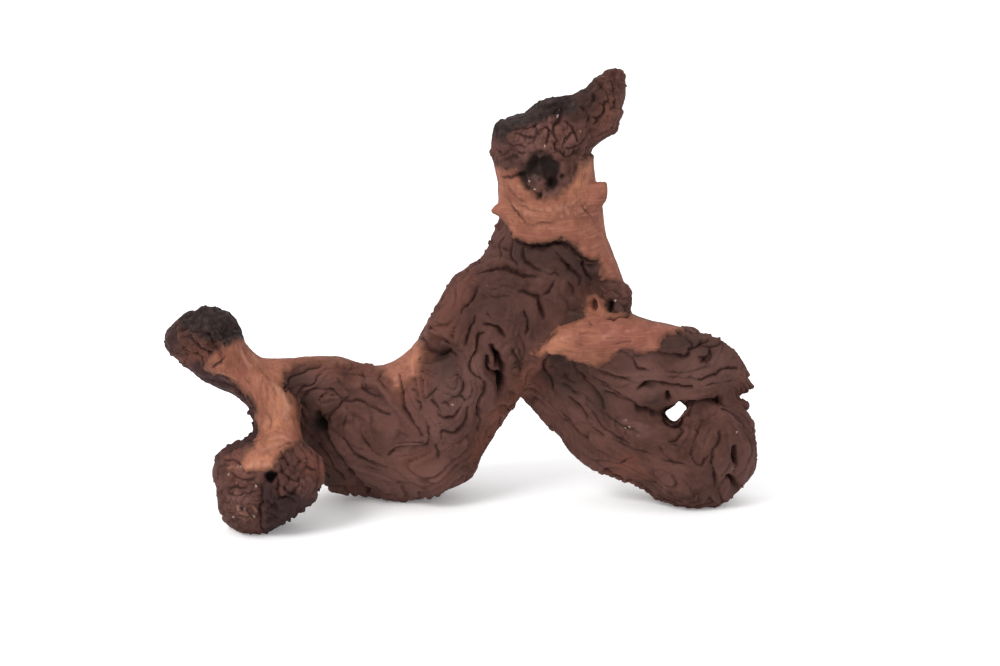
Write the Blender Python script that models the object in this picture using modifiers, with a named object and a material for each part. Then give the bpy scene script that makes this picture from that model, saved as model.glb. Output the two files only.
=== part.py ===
"""A dry mopane root: one weathered piece of wood that stands on three worn spots.

The root is a set of tapering limbs that grew together. Each limb is drawn as it looks from the
front, between two edges, and is given its place and thickness in depth. The limbs are fused into
one skin, the furrows, folds and pits of the wood are raised and sunk on it, and it is cut flat
where it stands. Metres, +Z up, the front towards -Y, origin at the middle of the base.
"""

import itertools
import math

import bmesh
import bpy
import numpy as np
from mathutils import Matrix, Vector
from mathutils.bvhtree import BVHTree
from mathutils.kdtree import KDTree

# Driving dimensions
ROOT_WIDTH = 0.295
DRAWING_WIDTH = 590.0
UNIT = ROOT_WIDTH / DRAWING_WIDTH
MM = 0.001

# The front view: its middle, how far off it is drawn from and how far down it looks
VIEW_MIDDLE = (500.0, 333.0)
VIEW_DISTANCE = 2.0
VIEW_TILT = math.radians(15.0)
VIEW_AIM = Vector((0.019, 0.0, 0.0917))
ACROSS = Vector((1.0, 0.0, 0.0))
AHEAD = Vector((0.0, math.cos(VIEW_TILT), -math.sin(VIEW_TILT)))
UPWARD = Vector((0.0, math.sin(VIEW_TILT), math.cos(VIEW_TILT)))
EYE = VIEW_AIM - AHEAD * VIEW_DISTANCE

# Fineness of the fused skin, and of the finished solid
RING_SIDES = 28
STEPS_PER_SPAN = 4
CAP_STEPS = (0.4, 0.75, 0.97)
CAP_BULGE = 0.35
LUMP_SIDES = 28
LUMP_RINGS = 18
FURROW_STEPS = 12
FURROW_PIECE = 0.4 * MM
WIDEST_GAP = 4.0 * MM
FUSE_VOXEL = 1.6 * MM
SKIN_VOXEL = 1.25 * MM
FUSE_SMOOTHING = 8
MOST_TRIANGLES = 11800
FOOT_DEPTH = 1.0 * MM
WORN_HEIGHT = 6.0 * MM
FOOT_COLUMNS = [(200, 335), (345, 500), (600, 760)]
MERGE_DISTANCE = 0.00005
SEED = 7

# Limbs: (upper or inner edge, lower or outer edge, depth in mm, half thickness in mm)
LIMBS = {
    "left_limb": [
        ((168, 325), (165, 351), 2, 9),
        ((180, 315), (180, 364), 2, 17),
        ((196, 311), (190, 373), 1, 22),
        ((213, 309), (200, 381), 0, 24),
        ((229, 313), (210, 385), -1, 23),
        ((239, 327), (221, 390), -2, 20),
        ((246, 345), (232, 394), -3, 17),
        ((260, 358), (240, 399), -4, 16),
        ((283, 372), (246, 405), -6, 17),
        ((295, 395), (249, 411), -9, 17),
        ((300, 412), (251, 420), -13, 17),
        ((300, 427), (250, 430), -18, 18),
        ((303, 440), (243, 440), -23, 20),
        ((316, 452), (221, 449), -28, 23),
        ((324, 463), (212, 461), -32, 25),
        ((323, 476), (211, 475), -34, 25),
        ((317, 488), (216, 488), -35, 25),
        ((313, 500), (218, 501), -36, 24),
        ((303, 511), (220, 514), -36, 22),
        ((288, 521), (225, 523), -36, 18),
        ((272, 529), (235, 529), -36, 12),
    ],
    "bridge": [
        ((255, 362), (262, 398), -4, 12),
        ((272, 359), (278, 400), -3, 13),
        ((288, 359), (294, 402), 0, 14),
        ((303, 357), (308, 402), 5, 17),
        ((322, 357), (326, 405), 9, 20),
        ((345, 359), (350, 405), 13, 22),
    ],
    "belly_and_trunk": [
        ((292, 378), (298, 452), 11, 13),
        ((312, 364), (327, 488), 15, 24),
        ((335, 357), (348, 494), 15, 30),
        ((355, 363), (372, 497), 16, 33),
        ((374, 368), (400, 498), 16, 34),
        ((390, 363), (430, 496), 17, 34),
        ((404, 356), (452, 487), 17, 34),
        ((415, 345), (471, 467), 17, 33),
        ((426, 327), (482, 447), 18, 31),
        ((434, 309), (493, 428), 17, 30),
        ((443, 294), (512, 402), 16, 29),
        ((454, 275), (537, 382), 16, 29),
        ((470, 265), (566, 352), 17, 28),
        ((480, 248), (605, 325), 18, 28),
        ((488, 234), (624, 297), 18, 27),
        ((495, 222), (618, 263), 17, 26),
        ((498, 210), (604, 230), 17, 25),
        ((498, 195), (602, 206), 17, 25),
        ((498, 181), (596, 181), 17, 25),
        ((495, 165), (594, 163), 17, 25),
        ((492, 149), (594, 150), 17, 25),
        ((493, 135), (592, 137), 17, 24),
        ((496, 122), (586, 125), 17, 22),
        ((513, 115), (578, 113), 17, 18),
        ((532, 102), (568, 99), 17, 13),
    ],
    "horn": [
        ((540, 116), (592, 152), 17, 17),
        ((560, 100), (603, 141), 17, 17),
        ((574, 93), (619, 133), 18, 15),
        ((585, 86), (626, 118), 19, 13),
        ((593, 77), (626, 99), 20, 11),
        ((601, 70), (629, 84), 21, 8),
        ((609, 64), (629, 72), 21, 6),
    ],
    "arm": [
        ((534, 340), (536, 378), 8, 18),
        ((556, 326), (556, 368), 3, 20),
        ((580, 318), (580, 370), 0, 21),
        ((606, 310), (604, 370), 0, 21),
        ((632, 315), (628, 367), 1, 20),
        ((655, 322), (652, 366), 2, 19),
        ((680, 327), (677, 367), 4, 18),
        ((700, 331), (696, 371), 5, 17),
        ((719, 339), (710, 375), 6, 15),
        ((735, 350), (724, 379), 7, 12),
    ],
    "lobe_upper": [
        ((540, 335), (540, 396), 24, 18),
        ((580, 325), (572, 420), 19, 22),
        ((615, 325), (602, 432), 15, 24),
        ((648, 329), (634, 430), 12, 24),
        ((678, 332), (664, 425), 10, 23),
        ((704, 338), (696, 424), 9, 22),
        ((726, 347), (720, 414), 8, 18),
        ((742, 360), (735, 398), 8, 12),
        ((752, 378), (742, 390), 8, 6),
    ],
    "lobe_lower": [
        ((572, 350), (524, 399), 24, 17),
        ((602, 362), (544, 415), 21, 21),
        ((623, 376), (560, 433), 18, 23),
        ((642, 390), (573, 452), 15, 25),
        ((662, 404), (601, 469), 12, 26),
        ((676, 410), (638, 484), 10, 26),
        ((688, 412), (676, 506), 9, 26),
        ((696, 410), (709, 507), 8, 26),
        ((702, 405), (739, 492), 8, 25),
        ((704, 398), (757, 464), 8, 23),
        ((706, 390), (755, 440), 8, 20),
        ((712, 386), (747, 419), 8, 16),
        ((718, 388), (738, 406), 8, 11),
    ],
}

# Flakes and splinters with thin edges, as the limbs are given
FLAKES = {
    "neck_flake_left": [
        ((508, 199), (512, 226), 10, 9),
        ((500, 203), (505, 221), 8, 6),
        ((494, 207), (497, 217), 7, 3.5),
        ((491, 210), (493, 214), 7, 1.5),
    ],
    "neck_flake_right": [
        ((588, 182), (591, 214), 8, 9),
        ((598, 182), (599, 209), 6, 5.5),
        ((605, 182), (605, 201), 5, 3),
    ],
    "lobe_splinter_upper": [
        ((734, 366), (734, 393), 8, 9),
        ((745, 376), (743, 392), 8, 5),
        ((755, 385), (753, 389), 8, 2),
    ],
    "lobe_splinter_lower": [
        ((720, 397), (722, 412), 8, 9),
        ((735, 399), (735, 409), 7, 5),
        ((747, 403), (746, 406), 6, 2),
    ],
}

# Lumps that stand out of the limbs: (middle in the front view, depth in mm, half sizes in mm)
LUMPS = {
    "shoulder_knot": ((612, 298), 6, (10, 15, 9)),
    "knob_left_half": ((243, 492), -40, (13, 20, 19)),
    "knob_right_half": ((297, 476), -34, (13, 22, 16)),
    "back_heel": ((415, 456), 24, (27, 21, 20)),
    "back_shoulder": ((540, 290), 34, (26, 16, 28)),
}

# Furrows seen from the front: (depth, width and lip in mm, points in the front view). A positive
# lip stands along the left side of the way the furrow is drawn, a negative one along the right
FURROWS = [
    (5.0, 3.0, 0.0, [(318, 416), (321, 430), (329, 443)]),
    (3.2, 1.9, 1.4, [(329, 443), (336, 456), (343, 468), (352, 480), (362, 490), (368, 496)]),
    (1.8, 1.6, -0.8, [(322, 417), (333, 411), (341, 403), (352, 400), (362, 401), (374, 408),
                      (389, 416)]),
    (2.6, 1.7, 1.0, [(400, 374), (403, 390), (405, 405), (411, 418), (422, 434)]),
    (1.8, 1.4, -0.9, [(426, 418), (429, 431), (428, 446), (410, 449), (397, 451), (388, 458)]),
    (1.5, 1.4, 0.7, [(343, 440), (352, 452), (363, 460), (376, 466), (386, 471)]),
    (1.4, 1.4, 0.6, [(360, 426), (363, 438), (371, 450), (380, 459)]),
    (1.7, 1.5, -0.6, [(438, 412), (446, 418), (456, 417), (463, 409)]),
    (1.8, 1.5, 0.6, [(470, 408), (470, 419), (465, 429), (456, 435), (445, 432), (443, 440)]),
    (3.0, 2.0, 0.0, [(421, 337), (425, 346), (433, 351), (443, 352), (453, 357)]),
    (6.5, 2.8, 0.0, [(492, 347), (496, 357), (501, 367), (504, 376)]),
    (6.5, 3.0, 1.0, [(487, 358), (490, 369), (497, 375), (503, 382), (502, 393)]),
    (2.2, 1.6, -0.8, [(484, 331), (478, 337), (476, 350), (471, 364), (473, 375), (483, 382)]),
    (2.2, 1.6, 0.8, [(485, 383), (486, 393), (481, 407), (481, 432)]),
    (2.0, 1.5, -0.6, [(464, 346), (467, 333), (473, 318)]),
    (2.8, 2.0, 0.8, [(483, 325), (493, 325), (501, 330), (505, 338)]),
    (1.9, 1.5, -0.9, [(520, 293), (531, 294), (539, 300), (542, 309), (546, 320)]),
    (1.6, 1.4, 0.6, [(524, 311), (530, 323), (528, 336)]),
    (2.4, 1.7, -1.0, [(452, 297), (459, 281), (470, 272), (487, 269), (508, 268), (520, 275),
                      (536, 279)]),
    (1.8, 1.5, 0.7, [(510, 233), (510, 250), (512, 259), (518, 265)]),
    (1.5, 1.4, 0.6, [(521, 244), (522, 256), (531, 264), (540, 271)]),
    (1.8, 1.5, -0.8, [(556, 254), (565, 261), (571, 271), (580, 279), (579, 288)]),
    (1.6, 1.5, 0.6, [(553, 281), (552, 291), (544, 297)]),
    (2.4, 1.8, 0.8, [(575, 249), (583, 262), (587, 274), (593, 283)]),
    (3.0, 1.8, 0.6, [(507, 232), (512, 240), (527, 245), (542, 246), (556, 244), (567, 244),
                     (573, 248), (578, 255), (586, 260), (599, 261)]),
    (1.7, 1.5, 0.6, [(476, 283), (473, 294), (466, 304), (460, 313)]),
    (2.8, 2.0, 1.0, [(549, 360), (545, 370), (551, 382), (556, 396)]),
    (2.2, 1.6, 1.0, [(573, 362), (576, 373), (586, 386), (597, 397), (603, 408)]),
    (2.0, 1.6, 0.9, [(569, 397), (579, 409), (588, 424), (601, 437)]),
    (1.6, 1.5, 0.7, [(549, 401), (556, 412), (566, 424)]),
    (2.6, 1.8, 1.2, [(604, 395), (620, 400), (636, 408), (650, 412), (664, 414)]),
    (3.0, 2.0, 1.0, [(637, 391), (648, 384), (665, 385), (692, 388)]),
    (4.0, 2.0, 1.2, [(637, 359), (652, 353), (668, 357), (690, 357)]),
    (1.7, 1.5, 0.8, [(618, 353), (630, 361), (637, 370), (652, 370)]),
    (2.0, 1.6, -1.0, [(700, 380), (717, 373), (728, 367), (739, 368)]),
    (6.0, 1.9, 0.0, [(682, 402), (700, 400), (716, 397), (733, 394)]),
    (3.0, 1.8, 0.6, [(668, 391), (668, 403)]),
    (1.8, 1.5, 0.6, [(678, 423), (682, 432), (677, 439), (668, 441)]),
    (2.0, 1.6, 0.9, [(701, 418), (697, 432), (689, 447), (691, 461), (699, 468), (708, 456)]),
    (2.2, 1.6, 0.9, [(720, 429), (718, 441), (713, 452), (712, 467), (717, 479), (716, 490)]),
    (4.0, 2.6, 0.0, [(736, 447), (737, 457), (740, 466)]),
    (3.6, 2.2, 0.0, [(731, 479), (737, 487)]),
    (1.5, 1.4, 0.6, [(660, 463), (672, 466), (683, 470)]),
    (1.5, 1.4, -0.6, [(721, 408), (731, 409), (742, 421)]),
    (2.4, 1.8, 0.8, [(686, 357), (695, 350), (702, 341), (709, 338)]),
    (1.7, 1.5, 0.6, [(700, 362), (709, 357), (712, 347)]),
    (1.6, 1.4, 0.6, [(193, 344), (200, 352), (214, 355)]),
    (1.6, 1.4, 0.7, [(203, 329), (211, 338), (213, 347), (219, 353), (222, 364)]),
    (2.0, 1.5, 0.8, [(277, 474), (279, 484), (282, 496), (297, 505)]),
    (1.7, 1.4, 0.6, [(302, 476), (300, 487), (293, 498)]),
    (1.6, 1.5, 0.5, [(219, 487), (232, 486), (246, 489)]),
    (2.2, 1.8, 1.2, [(262, 486), (263, 498), (261, 512), (263, 530)]),
    (2.0, 1.6, 0.8, [(281, 451), (288, 456), (289, 466)]),
    (2.0, 1.6, 0.8, [(564, 102), (562, 115), (556, 124)]),
    (1.6, 1.4, 0.7, [(547, 121), (551, 133), (548, 145)]),
    (1.6, 1.4, 0.6, [(611, 98), (604, 110), (598, 124)]),
    (1.8, 1.5, -0.8, [(512, 128), (527, 126), (540, 120)]),
]
LIP_REACH = 3.2
FURROW_ROUNDNESS = 1.5
LEAST_DRAWN = 0.1 * MM

# Knot holes and pockets: (middle in the front view, half width, half height and depth in mm)
PITS = [
    ((541, 176), 10.0, 9.6, 7.5),
    ((521, 175), 2.8, 1.8, 4.5),
    ((271, 477), 3.0, 3.0, 7.0),
    ((611, 305), 2.6, 3.2, 5.0),
    ((594, 305), 1.3, 2.8, 2.8),
    ((318, 426), 3.6, 5.0, 3.5),
    ((435, 354), 5.0, 3.0, 2.4),
    ((648, 387), 4.0, 2.0, 2.2),
    ((555, 362), 4.6, 3.0, 2.4),
]
PIT_REACH = 15.0 * MM
PIT_EDGE_SIZE = 3.2 * MM
PIT_RAGGEDNESS = 0.16
PIT_STEEPNESS = 4
# The broken stub of a twig that stands inside the hollow of the top
STUB = ((539, 185), 6.4, 6.2, 5.6)

# Bare wood, where the skin is smooth: outlines in the front view
BARE_WOOD = [
    [(204, 371), (214, 352), (226, 345), (232, 336), (250, 336), (263, 352), (300, 350), (345, 352),
     (392, 354), (411, 338), (420, 337), (424, 352), (424, 366), (418, 378), (408, 384), (398, 390),
     (392, 392), (388, 384), (380, 371), (366, 367), (330, 363), (300, 365), (284, 371), (284, 388),
     (296, 402), (301, 420), (302, 437), (292, 443), (277, 449), (278, 458), (268, 470), (248, 471),
     (240, 464), (244, 454), (251, 446), (257, 432), (259, 416), (256, 403), (239, 390), (224, 377),
     (212, 376)],
    [(490, 164), (510, 167), (521, 173), (526, 187), (533, 196), (545, 199), (557, 196), (566, 189),
     (573, 178), (580, 166), (588, 157), (600, 156), (612, 182), (606, 212), (624, 250), (634, 276),
     (622, 286), (612, 282), (600, 278), (599, 258), (585, 257), (577, 252), (573, 244), (566, 241),
     (556, 241), (542, 243), (527, 243), (512, 236), (506, 224), (501, 216), (486, 218), (486, 196)],
    [(541, 359), (530, 356), (538, 345), (549, 334), (562, 326), (572, 321), (582, 318), (583, 308),
     (588, 299), (597, 296), (604, 301), (609, 313), (622, 315), (636, 314), (650, 318), (672, 322),
     (686, 328), (677, 335), (661, 337), (662, 348), (657, 355), (641, 354), (632, 350), (622, 353),
     (613, 359), (603, 364), (590, 367), (576, 364), (563, 357), (548, 354)],
]

# The edge of the bare wood: how far it wanders and half its width, in the front view, and its size
EDGE_WANDER = 2.0
EDGE_WIDTH = 1.5
EDGE_SIZE = 6.0 * MM

# Folds that run with the wood and lie over one another like flaps: the spacing of the noise they
# follow, how far it is drawn out each way, how many flaps there are to it, and their height
FOLD_SPACING = 13.0 * MM
FOLD_REACH = 20.0 * MM
FOLD_STRIDE = 2.0 * MM
FOLD_FLAPS = 1.15
FOLD_HEIGHT = 4.4 * MM
FOLD_EDGE = 0.10
CALM_SIZE = 24.0 * MM
CALMEST = 0.45
FLOW_CELL = 6.0 * MM
LIMB_SWAY = 14.0 * MM
FURROW_SWAY = 6.0 * MM
FURROW_PULL = 5.0
FURROW_THINNING = 6
STRAY_PULL = 1e-9 * np.array([1.0, 0, 0, 0, 0.5, 0, 0, 0, 0.5])
CELLS_AT_A_TIME = 4000
SWELL_HEIGHT = 1.6 * MM
SWELL_SIZE = 16.0 * MM
BARE_RELIEF = 0.12
BARE_SWELL = 0.3
BARE_RISE = 0.2 * MM
FOLD_RISE = -1.9 * MM
LATTICE = 48

# The opening through the right lobe: its outline in the front view, and (depth in mm, size) along it
OPENING = [(664, 414), (670, 408), (679, 402), (684, 404), (687, 411), (681, 416), (674, 421),
           (669, 418)]
OPENING_RUN = [(-45, 3.0), (-14, 1.15), (-2, 0.8), (18, 0.8), (30, 1.15), (65, 2.4)]

BARK_COLOUR = (0.105, 0.052, 0.042, 1.0)
BARK_ROUGHNESS = 0.82


def clear_scene():
    for old in list(bpy.data.objects):
        bpy.data.objects.remove(old)


def place(at, depth):
    """The point that shows at this place of the front view and lies at this depth (Y, metres)."""
    column, row = at
    ray = AHEAD * VIEW_DISTANCE
    ray = ray + ACROSS * ((column - VIEW_MIDDLE[0]) * UNIT)
    ray = ray + UPWARD * ((VIEW_MIDDLE[1] - row) * UNIT)
    return EYE + ray * ((depth - EYE.y) / ray.y)


def seen_at(points):
    """The columns and rows at which an array of points shows in the front view."""
    offset = points - np.array(EYE)
    ahead = offset @ np.array(AHEAD)
    columns = VIEW_MIDDLE[0] + offset @ np.array(ACROSS) / ahead * VIEW_DISTANCE / UNIT
    rows = VIEW_MIDDLE[1] - offset @ np.array(UPWARD) / ahead * VIEW_DISTANCE / UNIT
    return np.stack([columns, rows], axis=1)


def eased(value, low, high):
    """0 below low, 1 above high and a smooth step between."""
    share = np.clip((value - low) / (high - low), 0.0, 1.0)
    return share * share * (3.0 - 2.0 * share)


def smooth_run(rows, steps):
    """The rows with more between them, along a Catmull-Rom curve."""
    rows = np.array(rows, float)
    padded = np.vstack([2 * rows[0] - rows[1], rows, 2 * rows[-1] - rows[-2]])
    run = []
    for i in range(len(rows) - 1):
        a, b, c, d = padded[i : i + 4]
        for t in np.arange(steps) / steps:
            run.append(
                0.5 * (2 * b + (c - a) * t + (2 * a - 5 * b + 4 * c - d) * t**2
                       + (3 * b - a - 3 * c + d) * t**3)
            )
    run.append(rows[-1])
    return np.array(run)


def section(station):
    """The middle, side arm and depth arm of a limb's cross-section."""
    a_column, a_row, b_column, b_row, depth, thickness = station
    upper = place((a_column, a_row), depth * MM)
    lower = place((b_column, b_row), depth * MM)
    middle = (upper + lower) / 2
    return middle, (upper - lower) / 2, (middle - EYE).normalized() * thickness * MM


def limb_stations(stations):
    flat = [(*upper, *lower, depth, thickness) for upper, lower, depth, thickness in stations]
    return [section(row) for row in smooth_run(flat, STEPS_PER_SPAN)]


def add_limb(shapes, stations):
    """A closed loft through the stations, with rounded ends."""
    rings = limb_stations(stations)
    first_run = (rings[0][0] - rings[1][0]).normalized()
    last_run = (rings[-1][0] - rings[-2][0]).normalized()
    capped = []
    for share in reversed(CAP_STEPS):
        middle, side, deep = rings[0]
        reach = first_run * min(side.length, deep.length) * CAP_BULGE * share
        shrink = math.sqrt(1 - share**2)
        capped.append((middle + reach, side * shrink, deep * shrink))
    capped += rings
    for share in CAP_STEPS:
        middle, side, deep = rings[-1]
        reach = last_run * min(side.length, deep.length) * CAP_BULGE * share
        shrink = math.sqrt(1 - share**2)
        capped.append((middle + reach, side * shrink, deep * shrink))
    loops = []
    for middle, side, deep in capped:
        loop = []
        for i in range(RING_SIDES):
            turn = 2 * math.pi * i / RING_SIDES
            loop.append(shapes.verts.new(middle + side * math.cos(turn) + deep * math.sin(turn)))
        loops.append(loop)
    faces = [shapes.faces.new(loops[0]), shapes.faces.new(loops[-1])]
    for near, far in zip(loops, loops[1:]):
        for i in range(RING_SIDES):
            j = (i + 1) % RING_SIDES
            faces.append(shapes.faces.new((near[i], near[j], far[j], far[i])))
    bmesh.ops.recalc_face_normals(shapes, faces=faces)


def add_lump(shapes, at, depth, half_sizes):
    size = Matrix.Diagonal((*[half * MM for half in half_sizes], 1.0))
    matrix = Matrix.Translation(place(at, depth * MM)) @ size
    bmesh.ops.create_uvsphere(
        shapes, u_segments=LUMP_SIDES, v_segments=LUMP_RINGS, radius=1.0, matrix=matrix
    )


def add_flakes(root):
    shapes = bmesh.new()
    shapes.from_mesh(root.data)
    for stations in FLAKES.values():
        add_limb(shapes, stations)
    shapes.to_mesh(root.data)
    shapes.free()


def rough_root():
    """The limbs and lumps as one object of overlapping closed shapes."""
    shapes = bmesh.new()
    for stations in LIMBS.values():
        add_limb(shapes, stations)
    for at, depth, half_sizes in LUMPS.values():
        add_lump(shapes, at, depth, half_sizes)
    mesh = bpy.data.meshes.new("dry_root")
    shapes.to_mesh(mesh)
    shapes.free()
    return bpy.data.objects.new("dry_root", mesh)


def apply_modifiers(root):
    graph = bpy.context.evaluated_depsgraph_get()
    mesh = bpy.data.meshes.new_from_object(root.evaluated_get(graph))
    old = root.data
    root.modifiers.clear()
    root.data = mesh
    bpy.data.meshes.remove(old)
    mesh.name = "dry_root"


def fuse(root, voxel, smoothing):
    """One skin round everything that overlaps."""
    remesh = root.modifiers.new("fuse", "REMESH")
    remesh.mode = "VOXEL"
    remesh.voxel_size = voxel
    if smoothing:
        smooth = root.modifiers.new("soften", "SMOOTH")
        smooth.factor = 0.5
        smooth.iterations = smoothing
    apply_modifiers(root)


def points_and_normals(root):
    mesh = root.data
    points = np.empty(len(mesh.vertices) * 3, np.float32)
    normals = np.empty(len(mesh.vertices) * 3, np.float32)
    mesh.vertices.foreach_get("co", points)
    mesh.vertices.foreach_get("normal", normals)
    return points.reshape(-1, 3).astype(float), normals.reshape(-1, 3).astype(float)


def set_points(root, points):
    root.data.vertices.foreach_set("co", points.astype(np.float32).ravel())
    root.data.update()


def between_cells(grid, places, wrap):
    """A grid's values at places counted in cells, blended between the eight nearest."""
    base = np.floor(places).astype(int)
    share = places - base
    blend = share * share * (3.0 - 2.0 * share) if wrap else share
    most = np.array(grid.shape[:3]) - 1
    total = np.zeros((len(places), grid.shape[3]))
    for corner in itertools.product((0, 1), repeat=3):
        at = base + corner
        at = at % grid.shape[0] if wrap else np.clip(at, 0, most)
        weight = np.prod(np.where(corner, blend, 1.0 - blend), axis=1)
        total += weight[:, None] * grid[at[:, 0], at[:, 1], at[:, 2]]
    return total


def lattice(seed):
    return np.random.default_rng(seed).normal(size=(LATTICE, LATTICE, LATTICE, 1))


def speckle(points, size, values):
    """Smooth noise with features of about this size."""
    return between_cells(values, points / size + LATTICE, True)[:, 0]


def on_skin(runs, skin):
    """Lines of the front view laid on the skin, as short pieces: middles, ways and which line."""
    middles, ways, lines = [], [], []
    for number, run in enumerate(runs):
        straight = len(run) == 2
        run = np.linspace(*run, FURROW_STEPS) if straight else smooth_run(run, FURROW_STEPS)
        hits = []
        for spot in run:
            hit = skin.ray_cast(EYE, (place(spot, 0.0) - EYE).normalized())[0]
            if hit:
                hits.append(np.array(hit))
        for near, far in zip(hits, hits[1:]):
            length = np.linalg.norm(far - near)
            if 0.0 < length < WIDEST_GAP:
                pieces = int(length / FURROW_PIECE) + 1
                for i in range(pieces):
                    middles.append(near + (far - near) * (i + 0.5) / pieces)
                    ways.append((far - near) / length)
                    lines.append(number)
    return np.array(middles), np.array(ways), np.array(lines)


def limb_lines():
    """Middles of the limbs and the way they run there."""
    middles, ways = [], []
    for stations in LIMBS.values():
        rings = np.array([middle for middle, _, _ in limb_stations(stations)])
        middles.append(rings)
        ways.append(np.gradient(rings, axis=0))
    ways = np.vstack(ways)
    return np.vstack(middles), ways / np.linalg.norm(ways, axis=1)[:, None]


def growth(points, furrow_middles, furrow_ways):
    """How the wood grows, as a grid of direction tensors: with the limbs and along the furrows."""
    low = points.min(axis=0) - 2 * FLOW_CELL
    count = np.ceil((points.max(axis=0) + 2 * FLOW_CELL - low) / FLOW_CELL).astype(int) + 1
    cells = np.stack(np.meshgrid(*[np.arange(n) for n in count], indexing="ij"), axis=-1)
    cells = cells.reshape(-1, 3) * FLOW_CELL + low
    tensors = np.zeros((len(cells), 9))
    limb_middles, limb_ways = limb_lines()
    sources = ((limb_middles, limb_ways, LIMB_SWAY, 1.0),
               (furrow_middles[::FURROW_THINNING], furrow_ways[::FURROW_THINNING],
                FURROW_SWAY, FURROW_PULL))
    for middles, ways, sway, pull in sources:
        squares = (ways[:, :, None] * ways[:, None, :]).reshape(-1, 9)
        for start in range(0, len(cells), CELLS_AT_A_TIME):
            block = cells[start : start + CELLS_AT_A_TIME]
            gap = np.sum((block[:, None] - middles[None]) ** 2, axis=2)
            here = slice(start, start + CELLS_AT_A_TIME)
            tensors[here] += pull * np.exp(-gap / (2 * sway**2)) @ squares
    tensors += STRAY_PULL
    tensors /= np.linalg.norm(tensors, axis=1)[:, None]
    return tensors.reshape(*count, 9), low


def grain(points, flow, size, reach, stride, values):
    """Noise that is long the way the wood grows and narrow across it, about -1 to 1."""
    tensors, low = flow
    start = between_cells(tensors, (points - low) / FLOW_CELL, False).reshape(-1, 3, 3)
    way = np.linalg.eigh(start)[1][:, :, 2]
    total = speckle(points, size, values)
    for side in (-1.0, 1.0):
        spot, heading = points.copy(), way * side
        for _ in range(int(reach / stride)):
            spot = spot + heading * stride
            tensor = between_cells(tensors, (spot - low) / FLOW_CELL, False).reshape(-1, 3, 3)
            for _ in range(2):
                heading = np.einsum("nij,nj->ni", tensor, heading)
                heading /= np.linalg.norm(heading, axis=1)[:, None] + 1e-12
            total += speckle(spot, size, values)
    return total / np.std(total)


def flap(pattern):
    """The profile of flaps that overlap: a slow rise from each crease to a rounded edge, 0 to 1."""
    share = pattern - np.floor(pattern)
    return share**0.7 * (1.0 - np.exp(-(1.0 - share) / FOLD_EDGE))


def inside_outline(spots, outline):
    inside = np.zeros(len(spots), bool)
    corners = np.array(outline, float)
    for start, end in zip(corners, np.roll(corners, -1, axis=0)):
        crosses = (start[1] > spots[:, 1]) != (end[1] > spots[:, 1])
        rise = end[1] - start[1] if end[1] != start[1] else 1.0
        reach = start[0] + (spots[:, 1] - start[1]) * (end[0] - start[0]) / rise
        inside ^= crosses & (spots[:, 0] < reach)
    return inside


def distance_to_outline(spots, outline):
    nearest = np.full(len(spots), np.inf)
    corners = np.array(outline, float)
    for start, end in zip(corners, np.roll(corners, -1, axis=0)):
        along = end - start
        share = np.clip((spots - start) @ along / (along @ along), 0.0, 1.0)
        nearest = np.minimum(nearest, np.linalg.norm(spots - start - share[:, None] * along, axis=1))
    return nearest


def bareness(points, spots, values):
    """1 on bare wood and 0 on the dark, folded wood, with a short ragged edge between."""
    shifts = [speckle(points + start, EDGE_SIZE, values) for start in (0.0, 0.1)]
    wandering = spots + EDGE_WANDER * np.stack(shifts, axis=1)
    bare = np.zeros(len(points))
    for outline in BARE_WOOD:
        gap = distance_to_outline(wandering, outline)
        gap[~inside_outline(wandering, outline)] *= -1
        bare = np.maximum(bare, eased(gap, -EDGE_WIDTH, EDGE_WIDTH))
    return bare


def pit_depths(points, spots, skin, values):
    """How deep the knot holes are, with the stub left standing in the top one."""
    ragged = 1.0 + PIT_RAGGEDNESS * speckle(points, PIT_EDGE_SIZE, values)
    sunk = np.zeros(len(points))
    for at, half_width, half_height, depth in PITS:
        hit = skin.ray_cast(EYE, (place(at, 0.0) - EYE).normalized())[0]
        reach = (spots - np.array(at, float)) * UNIT / MM / np.array((half_width, half_height))
        dip = depth * MM * np.exp(-((np.linalg.norm(reach, axis=1) * ragged) ** PIT_STEEPNESS))
        dip[np.linalg.norm(points - np.array(hit), axis=1) > PIT_REACH] = 0.0
        sunk = np.maximum(sunk, dip)
    at, half_width, half_height, height = STUB
    reach = (spots - np.array(at, float)) * UNIT / MM / np.array((half_width, half_height))
    stub = np.exp(-((np.linalg.norm(reach, axis=1) / ragged) ** PIT_STEEPNESS))
    return sunk - np.minimum(sunk, height * MM) * stub


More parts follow.
